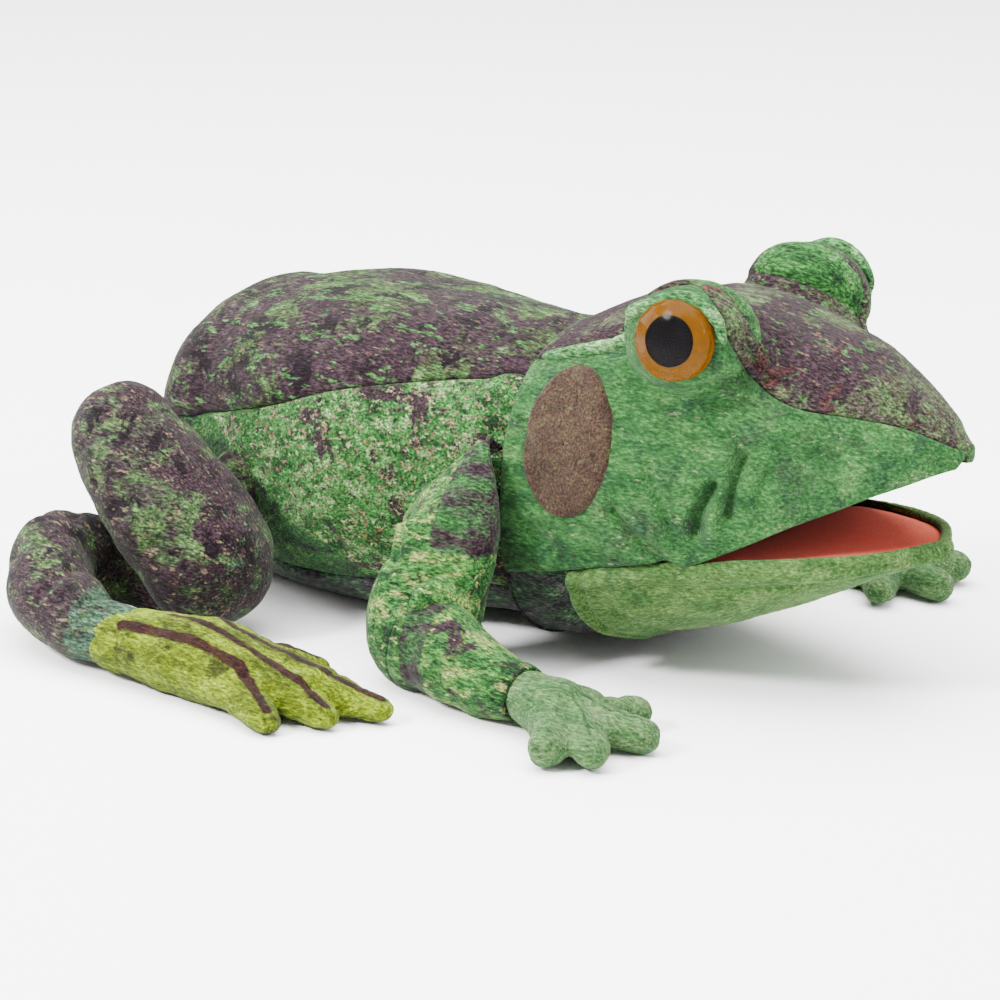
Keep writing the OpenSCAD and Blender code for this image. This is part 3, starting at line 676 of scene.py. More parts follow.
def with_mounds(p):
    """Head surface with the two mounds under the eyes, joined smoothly, and a seat for each eye."""
    axis = np.stack([p[..., 0], np.zeros(p.shape[:-1]), curve(HEAD_AXIS, p[..., 0])], -1)
    reach = np.linalg.norm(p - axis, axis=-1)
    u = unit(p - axis)
    cy, cz = MOUND[1] * np.where(p[..., 1] > 0, 1, -1), MOUND[2] - axis[..., 2]
    sy, sz = MOUND_SIZE[1:]
    ahead = p[..., 0] - MOUND[0]
    left = 1 - (ahead / np.where(ahead > 0, MOUND_FRONT, MOUND_SIZE[0]))**2
    a = (u[..., 1] / sy)**2 + (u[..., 2] / sz)**2
    b = -2 * (u[..., 1] * cy / sy**2 + u[..., 2] * cz / sz**2)
    c = (cy / sy)**2 + (cz / sz)**2 - left
    disc = b * b - 4 * a * c
    hit = (-b + np.sign(disc) * np.sqrt(np.abs(disc))) / (2 * a)
    soft = 5.0
    h = np.clip(0.5 + 0.5 * (hit - reach) / soft, 0, 1)
    p = axis + u * (reach * (1 - h) + hit * h + soft * h * (1 - h))[..., None]
    for side in SIDES:
        out = flip(EYE_OUT, side)
        q = p - flip(EYE, side)
        height = q @ out
        r = np.linalg.norm(q - height[..., None] * out, axis=-1)
        keep = ease((r - EYE_R - 0.5) / 3.5)
        sunk = np.where((height > -16) & (r < EYE_R + 6), np.minimum(height, -0.5), height)
        p = p + out * ((sunk - height) * (1 - keep))[..., None]
    return p


def head_point(x, a, mounds=True):
    """Head surface. Past the tip the rows close towards it."""
    x, a = np.broadcast_arrays(np.asarray(x, float), a)
    inside = np.minimum(x, TIP_X)
    p = section(inside, a, curve(HEAD_W, inside), curve(HEAD_BOTTOM, inside), curve(HEAD_WIDE, inside),
                curve(HEAD_TOP, inside), HEAD_K)
    if mounds:
        p = with_mounds(p)
    turn = np.clip((x - TIP_X) / 3, 0, 1) * math.pi / 2
    closed = TIP + (p - TIP) * np.cos(turn)[..., None]
    closed[..., 0] = p[..., 0] + 2.6 * np.sin(turn)
    return np.where((x > TIP_X)[..., None], closed, p)


def head_seam(x):
    return curve(HEAD_SEAM, x)


def mouth_seam(x):
    """Angle of the cheek's lower edge, which is the upper lip in front of the mouth's corner."""
    zb, zw = curve(HEAD_BOTTOM, x), curve(HEAD_WIDE, x)
    down = np.clip((zw - curve(MOUTH_SEAM, x)) / (zw - zb), 0, 1)
    lip = -3.8 * ease((x - 86) / 10)
    return np.where(x >= 86, lip, -np.degrees(np.arcsin(down ** (HEAD_K / 2))))


def head_grid(x, low, high):
    """Even grid over the head between two seams, and the same grid without the mounds."""
    rows = np.maximum(x, 16)
    a0, a1 = low(rows)[:, None], high(rows)[:, None]
    a = a0 + (a1 - a0) * np.linspace(0, 1, 200)[None, :]
    both = np.concatenate([head_point(rows[:, None], a), head_point(rows[:, None], a, mounds=False)], -1)
    width = np.linalg.norm(np.diff(both[..., :3], axis=1), axis=2).sum(1).max()
    grid = []
    for row in both:
        s = np.concatenate([[0], np.cumsum(np.linalg.norm(np.diff(row[:, :3], axis=0), axis=1))])
        t = np.linspace(0, s[-1], int(width / GRID))
        grid.append(np.stack([np.interp(t, s, row[:, k]) for k in range(6)], -1))
    grid = np.array(grid)
    return grid[..., :3], grid[..., 3:]


def hood_rows():
    """Rows from behind the rear edge to past the tip, closer together at the eyes and at the tip."""
    return np.concatenate([np.arange(11.0, 56, GRID), np.arange(56, 120, GRID * 0.62),
                           np.arange(120, 165, GRID), np.arange(165, TIP_X + 3.01, GRID * 0.4)])


# Each fold's line in the side view, its width and its depth, which is negative for a ridge
CHEEK_FOLDS = [([(113, 97), (110, 86), (109, 76)], 2.4, 6.0), ([(104, 86), (99, 76), (98, 67)], 2.4, 6.0),
               ([(108, 88), (105, 76), (104, 66)], 2.6, -3.0), ([(122, 92), (120, 80), (121, 74)], 2.4, 3.0),
               ([(66, 72), (76, 63), (88, 55)], 2.6, 5.0), ([(63, 76), (77, 66), (88, 62)], 3.4, -2.4),
               ([(80, 90), (86, 76), (90, 66)], 2.2, 2.6),
               ([(99, 122), (111, 127)], 2.2, 3.0), ([(64, 108), (80, 116), (98, 118)], 5.0, 1.8),
               ([(30, 58), (44, 50), (60, 52)], 4.0, 2.4), ([(128, 96), (150, 103)], 5.0, 1.4),
               ([(24, 96), (34, 76)], 4.5, 1.6)]


def head_panel(name, low, high, material, replaced, seed, creases=(), marked=False):
    x = hood_rows()
    p, plain = head_grid(x, low, high)
    rear = np.clip((16 - x) / 5, 0, 1)[:, None]
    if rear.max() > 0:
        # Rows behind the rear edge turn in, towards the ball of the neck
        inward = unit(NECK - p)
        p = p + inward * (4.2 * np.sin(rear * math.pi / 2))[..., None]
        p[..., 0] -= 1.6 * np.sin(rear * math.pi)
    axis = np.stack([np.clip(x, 20, 165), np.zeros(len(x)), curve(HEAD_AXIS, np.clip(x, 16, 165))], -1)
    n = grid_normals(p, False, axis)
    d = np.minimum(*row_distance(p))
    free = ease((x - 14) / 10)[:, None] * ease((TIP_X + 2 - x) / 12)[:, None]
    eye = np.min([np.linalg.norm(p - flip(EYE, side), axis=-1) for side in SIDES], axis=0)
    free = free * (0.25 + 0.75 * ease((eye - 17) / 8))
    lumps = (1.1 * noise(p, 40, seed) + 0.6 * noise(p, 17, seed + 3)) * free
    puff = 0.9 * ease(d / 12) * free - edge_tuck(d, 2.4, 1.2)
    lip = ease((p[..., 2] - FOLD[2] - (p[..., 0] - FOLD[0]) * PALATE_SLOPE) / 9)
    for line, width, depth in creases:
        puff = puff + side_crease(p, line, width, depth) * (0.45 + 0.55 * lip)
    raised = np.linalg.norm(p - plain, axis=-1)
    if marked:
        puff = puff - 1.3 * bell(raised, 6, 1.1) - bell(d, 11, 1.0) * ease((raised - 8) / 3)
    out = p + n * (lumps + puff + pile(p) * free)[..., None]
    piece = shell(name, out, out - n * FABRIC, material)
    if marked:
        inner = ease((42 - np.abs(p[..., 1])) / 5) * ease((p[..., 0] - 66) / 8)
        mark(piece, ease((raised - 5) / 2) * inner)
    return soft_piece(piece, "head", replaced=replaced)


crown = head_panel("head_top", head_seam, lambda x: 180 - head_seam(x), crown_plush,
                   ["head_top_panel", "head_stuffing"], 11, marked=True)
cheeks = {"right": head_panel("cheek_right", mouth_seam, head_seam, cheek_plush,
                              ["right_cheek_panel", "right_eyelid"], 12, CHEEK_FOLDS),
          "left": head_panel("cheek_left", lambda x: 180 - head_seam(x), lambda x: 180 - mouth_seam(x),
                             cheek_plush, ["left_cheek_panel", "left_eyelid"], 13,
                             CHEEK_FOLDS)}


def throat():
    x = np.arange(13, 62, GRID)
    p = panel_grid(lambda rows, a: head_point(np.maximum(rows, 16), a), x,
                   lambda v: 180 - mouth_seam(np.maximum(v, 16)) - 4,
                   lambda v: 360 + mouth_seam(np.maximum(v, 16)) + 4)
    centre = np.stack([x, np.zeros(len(x)), np.full(len(x), 64.0)], -1)
    n = grid_normals(p, False, centre)
    tuck = 4.6 * ease((x - 30) / 14) + 3.4 * ease((17 - x) / 4)
    out = p + n * (0.8 * noise(p, 30, 21) - 0.8 - tuck[:, None] + pile(p))[..., None]
    out[..., 2] = np.maximum(out[..., 2], 1.0)
    piece = shell("throat", out, out - n * FABRIC, belly_plush)
    soft_piece(piece, "head", replaced=["throat_panel"])


throat()


# ---- Surface finder, for what is sewn on the head ---------------------------------------------

def tree_of(*pieces):
    vertices, faces = [], []
    for piece in pieces:
        start = len(vertices)
        vertices += [v.co / MM for v in piece.data.vertices]
        faces += [[start + i for i in f.vertices] for f in piece.data.polygons]
    return BVHTree.FromPolygons(vertices, faces)


def on_surface(tree, start):
    """The point of the skin that is nearest to a point outside it, and the way out there."""
    place, _, _, gap = tree.find_nearest(Vector(start))
    out = Vector(start) - place
    return np.array(place), np.array(out / max(gap, 1e-6))


def straight_onto(tree, start, direction):
    """Where a ray first meets the skin, and the skin's normal there."""
    place, normal, _, _ = tree.ray_cast(Vector(start), Vector(direction))
    normal = np.array(normal)
    return np.array(place), normal * (-1 if normal @ np.asarray(direction) > 0 else 1)


def smooth_line(stations, count):
    """Evenly spread points along a smooth line through some stations, of any width."""
    stations = np.asarray(stations, float)
    s = np.concatenate([[0], np.cumsum(np.linalg.norm(np.diff(stations[:, :3], axis=0), axis=1))])
    t = np.linspace(0, s[-1], count)
    return np.stack([curve(list(zip(s, stations[:, k])), t) for k in range(stations.shape[1])], -1)


def roll(name, line, normals, radius, height, material, body="head", around=14):
    """A rolled strip of plush sewn along a line on the skin."""
    along = unit(np.gradient(line, axis=0))
    side = unit(np.cross(along, normals))
    up = np.cross(side, along)
    a = np.linspace(0, 2 * math.pi, around, endpoint=False)
    rings = (line + normals * height)[:, None] + radius[:, None, None] * (
        np.cos(a)[None, :, None] * side[:, None] + np.sin(a)[None, :, None] * up[:, None])
    rings = rings + up[:, None] * (pile(rings, 0.22))[..., None]
    return soft_piece(closed_tube(name, rings, material), body)


def eye_trim(side):
    skin = tree_of(cheeks[side], crown)
    out, fore, up = (flip(v, side) for v in (EYE_OUT, EYE_FORE, EYE_UP))
    seat = flip(EYE, side)

    def trim(name, stations, width, height, material, rear=()):
        """stations: ahead of, above and out from the eye's seat. rear: x on the head's seam, before them."""
        seam = [flip(head_point(x, head_seam(x)), side) for x in rear]
        stations = seam + [seat + u * fore + v * up + w * out for u, v, w in stations]
        line = smooth_line(stations, 80)
        found = [on_surface(skin, p + out * 0.4 + np.array([0, 0, 0.4])) for p in line]
        place = smooth_line([f[0] for f in found][::3], len(line))
        normals = unit(np.array([f[1] for f in found]) * 0.3 + out * 0.6 + up * 0.35)
        t = np.linspace(0, 1, len(line))
        radius = width * np.sqrt(np.clip(1 - (2 * t - 1)**6, 0.02, 1))
        roll(name, place, normals, radius, height, material)

    trim("brow_" + side, [(-15, 13.6, 3), (0, 18.8, 3), (12, 16.6, 3), (19.5, 8.7, 3), (23.5, -2, 3)],
         2.9, 1.0, ridge_plush, rear=(19, 32, 46, 58))
    trim("dart_" + side, [(24, 4, -10), (31, -4, -14), (37, -10, -16)], 1.7, 0.1, crown_plush)


def eardrum(side):
    """Oval patch on the cheek, behind and below the eye, with a rolled edge."""
    skin = tree_of(cheeks[side])
    middle, half = (44, 94), (20, 28)
    rings, high = [], []
    for r in np.linspace(0.02, 1.0, 26):
        ring = []
        for a in np.linspace(0, 2 * math.pi, 120, endpoint=False):
            x, z = middle[0] + half[0] * r * math.cos(a), middle[1] + half[1] * r * math.sin(a)
            ring.append(straight_onto(skin, flip((x, -100, z), side), flip((0, 1, 0), side)))
        rings.append([f[0] for f in ring])
        high.append([f[1] for f in ring])
    rings, high = np.array(rings), unit(np.array(high))
    r = np.linspace(0.02, 1, len(rings))[:, None]
    lift = 1.5 + 0.5 * noise(rings, 16, 31) - 1.7 * np.clip((r - 0.93) / 0.07, 0, 1)**2
    outer = rings + high * (lift + pile(rings))[..., None]
    piece = shell("eardrum_" + side, outer, rings - high * 0.4, eardrum_plush, ring=True)
    soft_piece(piece, "head", replaced=[side + "_eardrum_patch"])


for side in SIDES:
    eye_trim(side)
    eardrum(side)


# ---- Jaw and mouth ------------------------------------------------------------------------------

JAW_W = [(44, 60.5), (66, 60.5), (86, 56), (110, 50.5), (134, 42), (153, 31), (164, 19), (171, 7)]
JAW_RIM = [(44, 44), (66, 50), (86, 54), (171, 62.5)]
JAW_TIP_X = 171.0


def jaw_point(x, a):
    x, a = np.broadcast_arrays(np.asarray(x, float), a)
    inside = np.minimum(x, JAW_TIP_X)
    # Only the lower half is drawn, so the height of the upper half is any number
    p = section(inside, a, curve(JAW_W, inside), curve(HEAD_BOTTOM, inside), curve(JAW_RIM, inside), 200,
                HEAD_K)
    tip = np.array([JAW_TIP_X, 0, 60.5])
    turn = np.clip((x - JAW_TIP_X) / 3, 0, 1) * math.pi / 2
    closed = tip + (p - tip) * np.cos(turn)[..., None]
    closed[..., 0] = p[..., 0] + 3.0 * np.sin(turn)
    return np.where((x > JAW_TIP_X)[..., None], closed, p)


def chin():
    t = np.concatenate([np.linspace(0, 1, int(120 / GRID)), 1 + np.linspace(0, 1, 12)[1:]])
    a = np.linspace(180, 360, 260)[None, :]
    # The rear edge runs forward as it goes down
    rear = 44 + 12 * np.sin(np.radians(a - 180)) ** 2
    rows = np.where(t[:, None] <= 1, rear + (JAW_TIP_X - rear) * t[:, None], JAW_TIP_X + 3 * (t[:, None] - 1))
    p = jaw_point(rows, a)
    width = np.linalg.norm(np.diff(p, axis=1), axis=2).sum(1).max()
    p = resample(p, int(width / GRID))
    axis = np.stack([np.clip(p[:, :, 0].mean(1), 50, 160), np.zeros(len(p)), np.full(len(p), 62.0)], -1)
    n = grid_normals(p, False, axis)
    d = np.minimum(*row_distance(p))
    back = distance_along(p, 0)
    free = ease((JAW_TIP_X + 3 - p[..., 0]) / 14)
    relief = (0.9 * noise(p, 34, 41) + 0.5 * noise(p, 15, 43)) * free
    # A roll and a seam along the lip, then the rear seam with a puff on either side, then a loose fold
    relief = relief + 1.4 * bell(d, 4.5, 3) - edge_tuck(d, 3.0, 1.2) - 0.8 * bell(d, 9.5, 1.6)
    relief = relief - 2.0 * bell(back, 7, 1.2) - edge_tuck(back, 2, 1.2)
    relief = relief + 1.2 * bell(back, 3.4, 2) + 0.8 * bell(back, 11, 2.5)
    relief = relief - 1.2 * bell(back - 3 * noise(p, 30, 47), 19, 2.4) * ease((40 - p[..., 2]) / 12)
    out = p + n * (relief + pile(p))[..., None]
    out[..., 2] += 1.3 * (1 - ease(d / 6)) * ease((p[..., 0] - 98) / 18)
    out[..., 2] = np.maximum(out[..., 2], 1.0)
    piece = shell("chin", out, out - n * FABRIC, chin_plush)
    soft_piece(piece, across=("head", "jaw", (60, 0, 30), (92, 0, 30)),
               replaced=["chin_panel", "chin_padding"])


def mouth():
    """One lining runs from the tip of the palate to the fold of the mouth and on to the tip of the jaw."""
    palate_x = np.arange(181.0, 86, -GRID)
    jaw_x = np.arange(86, 173.5, GRID)
    bend = np.radians(np.linspace(0, 180, 9)[1:-1])
    top, low = FOLD[2] + 4 * PALATE_SLOPE + 1.0, FOLD[2] + 4 * JAW_SLOPE
    x = np.concatenate([palate_x, 85.5 - 3 * np.sin(bend), jaw_x])
    z = np.concatenate([FOLD[2] + (palate_x - FOLD[0]) * PALATE_SLOPE + 1.0,
                        (top + low) / 2 + (top - low) / 2 * np.cos(bend), curve(JAW_RIM, jaw_x) - 1.2])
    palate_w = curve(HEAD_W, np.minimum(palate_x, TIP_X)) * np.sqrt(np.clip((181.5 - palate_x) / 3, 0, 1))
    jaw_w = curve(JAW_W, np.minimum(jaw_x, JAW_TIP_X)) * np.sqrt(np.clip((173.9 - jaw_x) / 3, 0, 1))
    w = np.concatenate([palate_w, np.full(len(bend), 57.0), jaw_w]) - 1.6 - 4.6 * ease((114 - x) / 14)
    t = np.linspace(-1, 1, int(112 / GRID))
    p = np.stack(np.broadcast_arrays(x[:, None], w[:, None] * t[None, :], z[:, None]), -1)
    count = len(palate_x) + len(bend) // 2
    upward = np.where(np.arange(len(x)) < count, -1.0, 1.0)[:, None]
    d = np.minimum(*row_distance(p))
    cushion = 2.2 * ease(d / 9) - 0.4 - 1.6 * (1 - ease(d / 3.5))
    cushion = cushion + 0.35 * noise(p, 22, 51) + 0.25 * noise(p, 8, 53)
    cushion = cushion * np.where(np.arange(len(x)) < count, 1, 0.4)[:, None]
    near_fold = ease((x - 84) / 14)[:, None]
    p[..., 2] += upward * cushion * near_fold
    n = grid_normals(p, False, (130, 0, 200))
    face = shell("mouth_lining", p, p + n * 1.1, mouth_velour)
    soft_piece(face, across=("head", "jaw", (FOLD + (-0.8, 0, 2.9)), (FOLD + (0.8, 0, -2.9))),
               replaced=["palate_lining", "jaw_lining"])


def jaw_rim():
    """Rolled edge of the chin's plush, round the lower lip."""
    front = JAW_TIP_X + 2.2 - 8.2 * (1 - np.linspace(0, 1, 14)[1:])**2
    x = np.concatenate([np.linspace(100, 165, 40), front])
    w = curve(JAW_W, np.minimum(x, JAW_TIP_X)) * np.sqrt(np.clip((JAW_TIP_X + 2.3 - x) / 9, 0, 1)) - 1.7
    half = np.stack([x, -np.maximum(w, 0), curve(JAW_RIM, x) + 0.1], -1)
    line = np.concatenate([half, (half * (1, -1, 1))[::-1][1:]])
    line = smooth_line(line[::4], 220)
    t = np.linspace(0, 1, len(line))
    radius = 2.2 * np.clip(1 - (2 * t - 1)**4, 0.05, 1)
    roll("jaw_rim", line, np.tile([0, 0, 1.0], (len(line), 1)), radius, 0.0, chin_plush, "jaw")


chin()
mouth()
jaw_rim()


# ---- Limbs --------------------------------------------------------------------------------------

def sweep(stations, spacing, around, ref=None, caps=(True, True), power=2.0):
    """Rings along a smooth path of (x, y, z, half width, half height), closed round at capped ends."""
    length = np.linalg.norm(np.diff(np.asarray(stations, float)[:, :3], axis=0), axis=1).sum()
    line = smooth_line(stations, int(length / spacing))
    along = unit(np.gradient(line[:, :3], axis=0))
    if ref is None:
        side = unit(np.cross(along, (0, 0, 1)))
    else:
        side = unit(np.asarray(ref, float) - (along @ np.asarray(ref, float))[:, None] * along)
    up = np.cross(side, along)
    centre, w, h = line[:, :3], line[:, 3], line[:, 4]
    for at_end in (False, True):
        if not caps[at_end]:
            continue
        k = -1 if at_end else 0
        turn = np.linspace(0, math.pi / 2, 14)[1:] * 0.985
        turn = turn if at_end else turn[::-1]
        sign = 1 if at_end else -1
        extra = [centre[k] + sign * along[k] * h[k] * np.sin(turn)[:, None], w[k] * np.cos(turn),
                 h[k] * np.cos(turn), np.repeat(side[k][None], len(turn), 0),
                 np.repeat(up[k][None], len(turn), 0)]
        old = [centre, w, h, side, up]
        centre, w, h, side, up = [np.concatenate([a, b] if at_end else [b, a]) for a, b in zip(old, extra)]
    a = np.linspace(0, 2 * math.pi, around, endpoint=False)
    c = np.sign(np.cos(a)) * np.abs(np.cos(a))**(2 / power)
    s = np.sign(np.sin(a)) * np.abs(np.sin(a))**(2 / power)
    across, rise = (w[:, None] * c)[..., None], (h[:, None] * s)[..., None]
    return centre[:, None] + side[:, None] * across + up[:, None] * rise


def ring_normals(rings):
    return grid_normals(rings, True, rings.mean(1))


# Stations of a limb on the right: x, y, z, half width, half height
ARM = [(-7, -61.5, 74.5, 0.9, 22), (-6.5, -65.5, 73.5, 2.8, 22.5), (-4.5, -70, 71, 5, 23),
       (-1, -74.5, 66, 7, 23.5), (2, -79, 60, 9, 23.5), (3, -82, 50, 10.5, 22.5), (2.5, -85, 40, 12, 22),
       (0, -89, 29, 15, 23), (3, -94, 21.5, 17, 23.5), (13, -98, 19, 16.5, 19), (26, -103, 16.5, 15, 15.5),
       (40, -106, 14.3, 13, 13), (52, -108, 13, 11.5, 11), (60, -109, 12.4, 10.5, 10)]


def arm(side):
    rings = sweep([tuple(flip(v[:3], side)) + v[3:] for v in ARM], GRID, 110,
                  ref=flip((0, -1, 0), side), caps=(False, False), power=2.1)
    middle = rings.mean(1)
    start = np.cumsum(np.linalg.norm(np.diff(middle, axis=0, prepend=middle[:1]), axis=1))[:, None]
    # The seam climbs forward and lies on the flank
    top = ease(1 - start / 30) * (rings[..., 0] + 7)
    rings[..., 2] += 0.24 * top
    rings[..., 1] -= SIDES[side] * 0.16 * top
    rings[..., 2] = np.maximum(rings[..., 2], 0.7)
    n = ring_normals(rings)
    x, z = rings[..., 0], rings[..., 2]
    upper = ease((z - 30) / 20) * ease((20 - x) / 8)
    pleats = -1.6 * bell(x + 20 - 0.05 * (z - 40), 0, 1.8) - 1.2 * bell(x + 11 + 0.08 * (z - 40), 0, 2)
    elbow = crease(rings, [flip((12, -86, 44), side), flip((8, -104, 36), side)], 3.5, 3.0)
    elbow = elbow + crease(rings, [flip((-2, -104, 30), side), flip((10, -112, 16), side)], 2.6, 1.3)
    elbow = elbow + crease(rings, [flip((24, -92, 28), side), flip((20, -112, 20), side)], 3.0, 0.9)
    lumps = 1.1 * noise(rings, 26, 61) + 0.6 * noise(rings, 11, 63)
    top = ease((np.arange(len(rings)) - 8) / 14)[:, None]
    out = rings + n * ((lumps + 0.8) * top + pleats * upper * top + elbow + pile(rings))[..., None]
    out[..., 2] = np.maximum(out[..., 2], 0.2)
    split = int(np.argmax(rings.mean(1)[:, 0] > 6))
    inner = out - n * FABRIC
    mask = ease((rings[..., 0] + 2) / 10) * ease((rings[..., 2] - 46) / 14)
    piece = shell("upper_arm_" + side, out[:split + 1], inner[:split + 1], arm_plush, ring=True)
    mark(piece, mask[:split + 1])
    y = SIDES[side]
    soft_piece(piece, across=("torso", side + "_upper_arm", (-5, 58 * y, 92), (-5, 80 * y, 70)),
               replaced=[side + "_upper_arm_skin", side + "_upper_arm_stuffing"])
    piece = shell("forearm_" + side, out[split:], inner[split:], arm_plush, ring=True)
    mark(piece, ease((24 - rings[split:, :, 0]) / 8) * ease((rings[split:, :, 0] - 4) / 4) * 0.8)
    soft_piece(piece,
               across=(side + "_upper_arm", side + "_forearm", (-12, 93 * y, 30), (14, 96 * y, 14)),
               replaced=[side + "_forearm_skin", side + "_forearm_stuffing"])


def ball(centre, r, flat):
    """Points of a flattened ball that stands on the ground."""
    a = np.linspace(0, 2 * math.pi, 20, endpoint=False)
    b = np.linspace(-math.pi / 2, math.pi / 2, 11)
    width = np.cos(b)[:, None]
    p = np.stack([width * np.cos(a), width * np.sin(a), np.sin(b)[:, None] + 0 * a], -1)
    return np.asarray(centre, float) + r * p.reshape(-1, 3) * (1, 1, flat)


def paw_mesh(name, start, palm, digits, flat, side, webbed):
    """One smooth skin round a palm and its digits, from hulls between flattened balls."""
    work = bmesh.new()
    bars = [(start, palm, 0.95, flat)]
    bars += [(palm, d[0], flat, flat) for d in digits] + [(d[0], d[1], flat, 0.92) for d in digits]
    bars += [(a[0], b[0], flat, flat) for a, b in zip(digits[:webbed], digits[1:webbed])]
    for a, b, flat_a, flat_b in bars:
        cloud = np.concatenate([ball(a[:3], a[3], flat_a), ball(b[:3], b[3], flat_b)])
        hull = [work.verts.new(flip(v, side)) for v in cloud]
        bmesh.ops.convex_hull(work, input=hull)
    bmesh.ops.delete(work, geom=[v for v in work.verts if not v.link_faces], context="VERTS")
    mesh = bpy.data.meshes.new(name)
    work.to_mesh(mesh)
    work.free()
    piece = bpy.data.objects.new(name, mesh)
    bpy.context.scene.collection.objects.link(piece)
    remesh = piece.modifiers.new("remesh", "REMESH")
    remesh.mode = "VOXEL"
    remesh.voxel_size = 0.95
    smooth = piece.modifiers.new("smooth", "SMOOTH")
    smooth.factor = 0.5
    smooth.iterations = 16
    done = bpy.data.meshes.new_from_object(piece.evaluated_get(bpy.context.evaluated_depsgraph_get()))
    piece.modifiers.clear()
    piece.data = done
    return piece


def paw(name, side, start, palm, digits, flat, material, stripes, roots, webbed, across, replaced):
    """roots: where the stripe of each digit starts. webbed: how many digits are joined at their knuckles."""
    piece = paw_mesh(name, start, palm, digits, flat, side, webbed)
    mesh = piece.data
    p = np.empty(len(mesh.vertices) * 3)
    mesh.vertices.foreach_get("co", p)
    p = p.reshape(-1, 3)
    n = np.empty(len(mesh.vertices) * 3)
    mesh.vertices.foreach_get("normal", n)
    n = n.reshape(-1, 3)
    relief = 0.7 * noise(p, 18, 71) + 0.5 * noise(p, 8, 73) + pile(p, 0.22)
    tips = [flip(d[1][:3], side) for d in digits]
    knuckles = [flip(d[0][:3], side) for d in digits]
    root = flip(palm[:3], side)
    line = np.full(len(p), 99.0)
    for a, b, first in zip(knuckles, tips, roots):
        across_toe = unit(np.cross(b - a, (0, 0, 1.0)))
        for reach in (0.2, 0.62):
            middle = a + (b - a) * reach
            fold = [middle - across_toe * 9 + (0, 0, 5), middle + across_toe * 3 + (0, 0, 9)]
            relief = relief + crease(p, fold, 1.7, 0.8)
        bent = [flip((*first, 0), side), a * (1, 1, 0), b * (1, 1, 0)]
        for c, d in zip(bent[:-1], bent[1:]):
            line = np.minimum(line, segment_distance(p * (1, 1, 0), c, d))
    for a, b in zip(knuckles[:-1], knuckles[1:]):
        valley = (a + b) / 2
        relief = relief + crease(p, [valley + (0, 0, 6), valley * 0.55 + root * 0.45 + (0, 0, 9)], 2.4, 2.2)
    p = p + n * relief[:, None]
    p[:, 2] = np.maximum(p[:, 2], 0.25)
    mesh.vertices.foreach_set("co", (p * MM).ravel())
    mesh.polygons.foreach_set("use_smooth", [True] * len(mesh.polygons))
    mesh.materials.clear()
    mesh.materials.append(material)
    layer = mesh.attributes.new("mark", "FLOAT", "POINT")
    layer.data.foreach_set("value", stripes(p, line).astype(np.float32))
    soft_piece(piece, across=across, replaced=replaced)


def hand(side):
    y = SIDES[side]
    paw("hand_" + side, side, (62, -109, 12, 10.6), (79, -112, 9.5, 14),
        [((86, -125, 8.5, 8.6), (92, -139, 7.5, 7.6)), ((94, -120, 8.5, 8.2), (105, -131, 7.5, 7.4)),
         ((96, -110, 8.5, 8.2), (111, -107, 7, 7)), ((88, -101, 8, 8), (95, -88, 7, 6.6))], 0.9,
        hand_plush, lambda p, line: 0.62 * ease((2.2 - line) / 2.5) + 0.5 * ease((66 - p[:, 0]) / 8),
        [(79, -112)] * 4, 0,
        (side + "_forearm", side + "_hand", (54, 108 * y, 13), (68, 109 * y, 12)), [side + "_hand"])


THIGH = [(-147, -93, 72, 21, 22), (-135, -95, 62, 24, 25), (-118, -96, 47, 26, 27), (-101, -97, 31, 25, 27)]
SHANK = [(-124, -97, 8, 7, 6), (-133, -97, 11, 9, 8.5), (-141, -99, 16, 12, 12), (-152, -107, 23, 16.5, 18),
         (-157, -121, 26, 18, 20.5), (-146, -139, 23, 17, 19.5), (-128, -148, 18.5, 15.5, 16.5),
         (-112, -152, 15.5, 13.5, 13), (-98, -152, 14.5, 13, 12.5)]


def limb(name, side, stations, creases, across, body, replaced, marked):
    """A stuffed part of a hind leg.
    creases: line, width and depth on the right. marked: gives the mark at each point."""
    rings = sweep([tuple(flip(v[:3], side)) + v[3:] for v in stations], GRID, 120)
    n = ring_normals(rings)
    relief = 1.3 * noise(rings, 30, 81) + 0.7 * noise(rings, 13, 83) + pile(rings)
    for line, width, depth in creases:
        relief = relief + crease(rings, [flip(v, side) for v in line], width, depth)
    out = rings + n * relief[..., None]
    out[..., 2] = np.maximum(out[..., 2], 0.2)
    piece = closed_tube(name, out, leg_plush)
    mark(piece, marked(rings))
    soft_piece(piece, body, across, replaced)


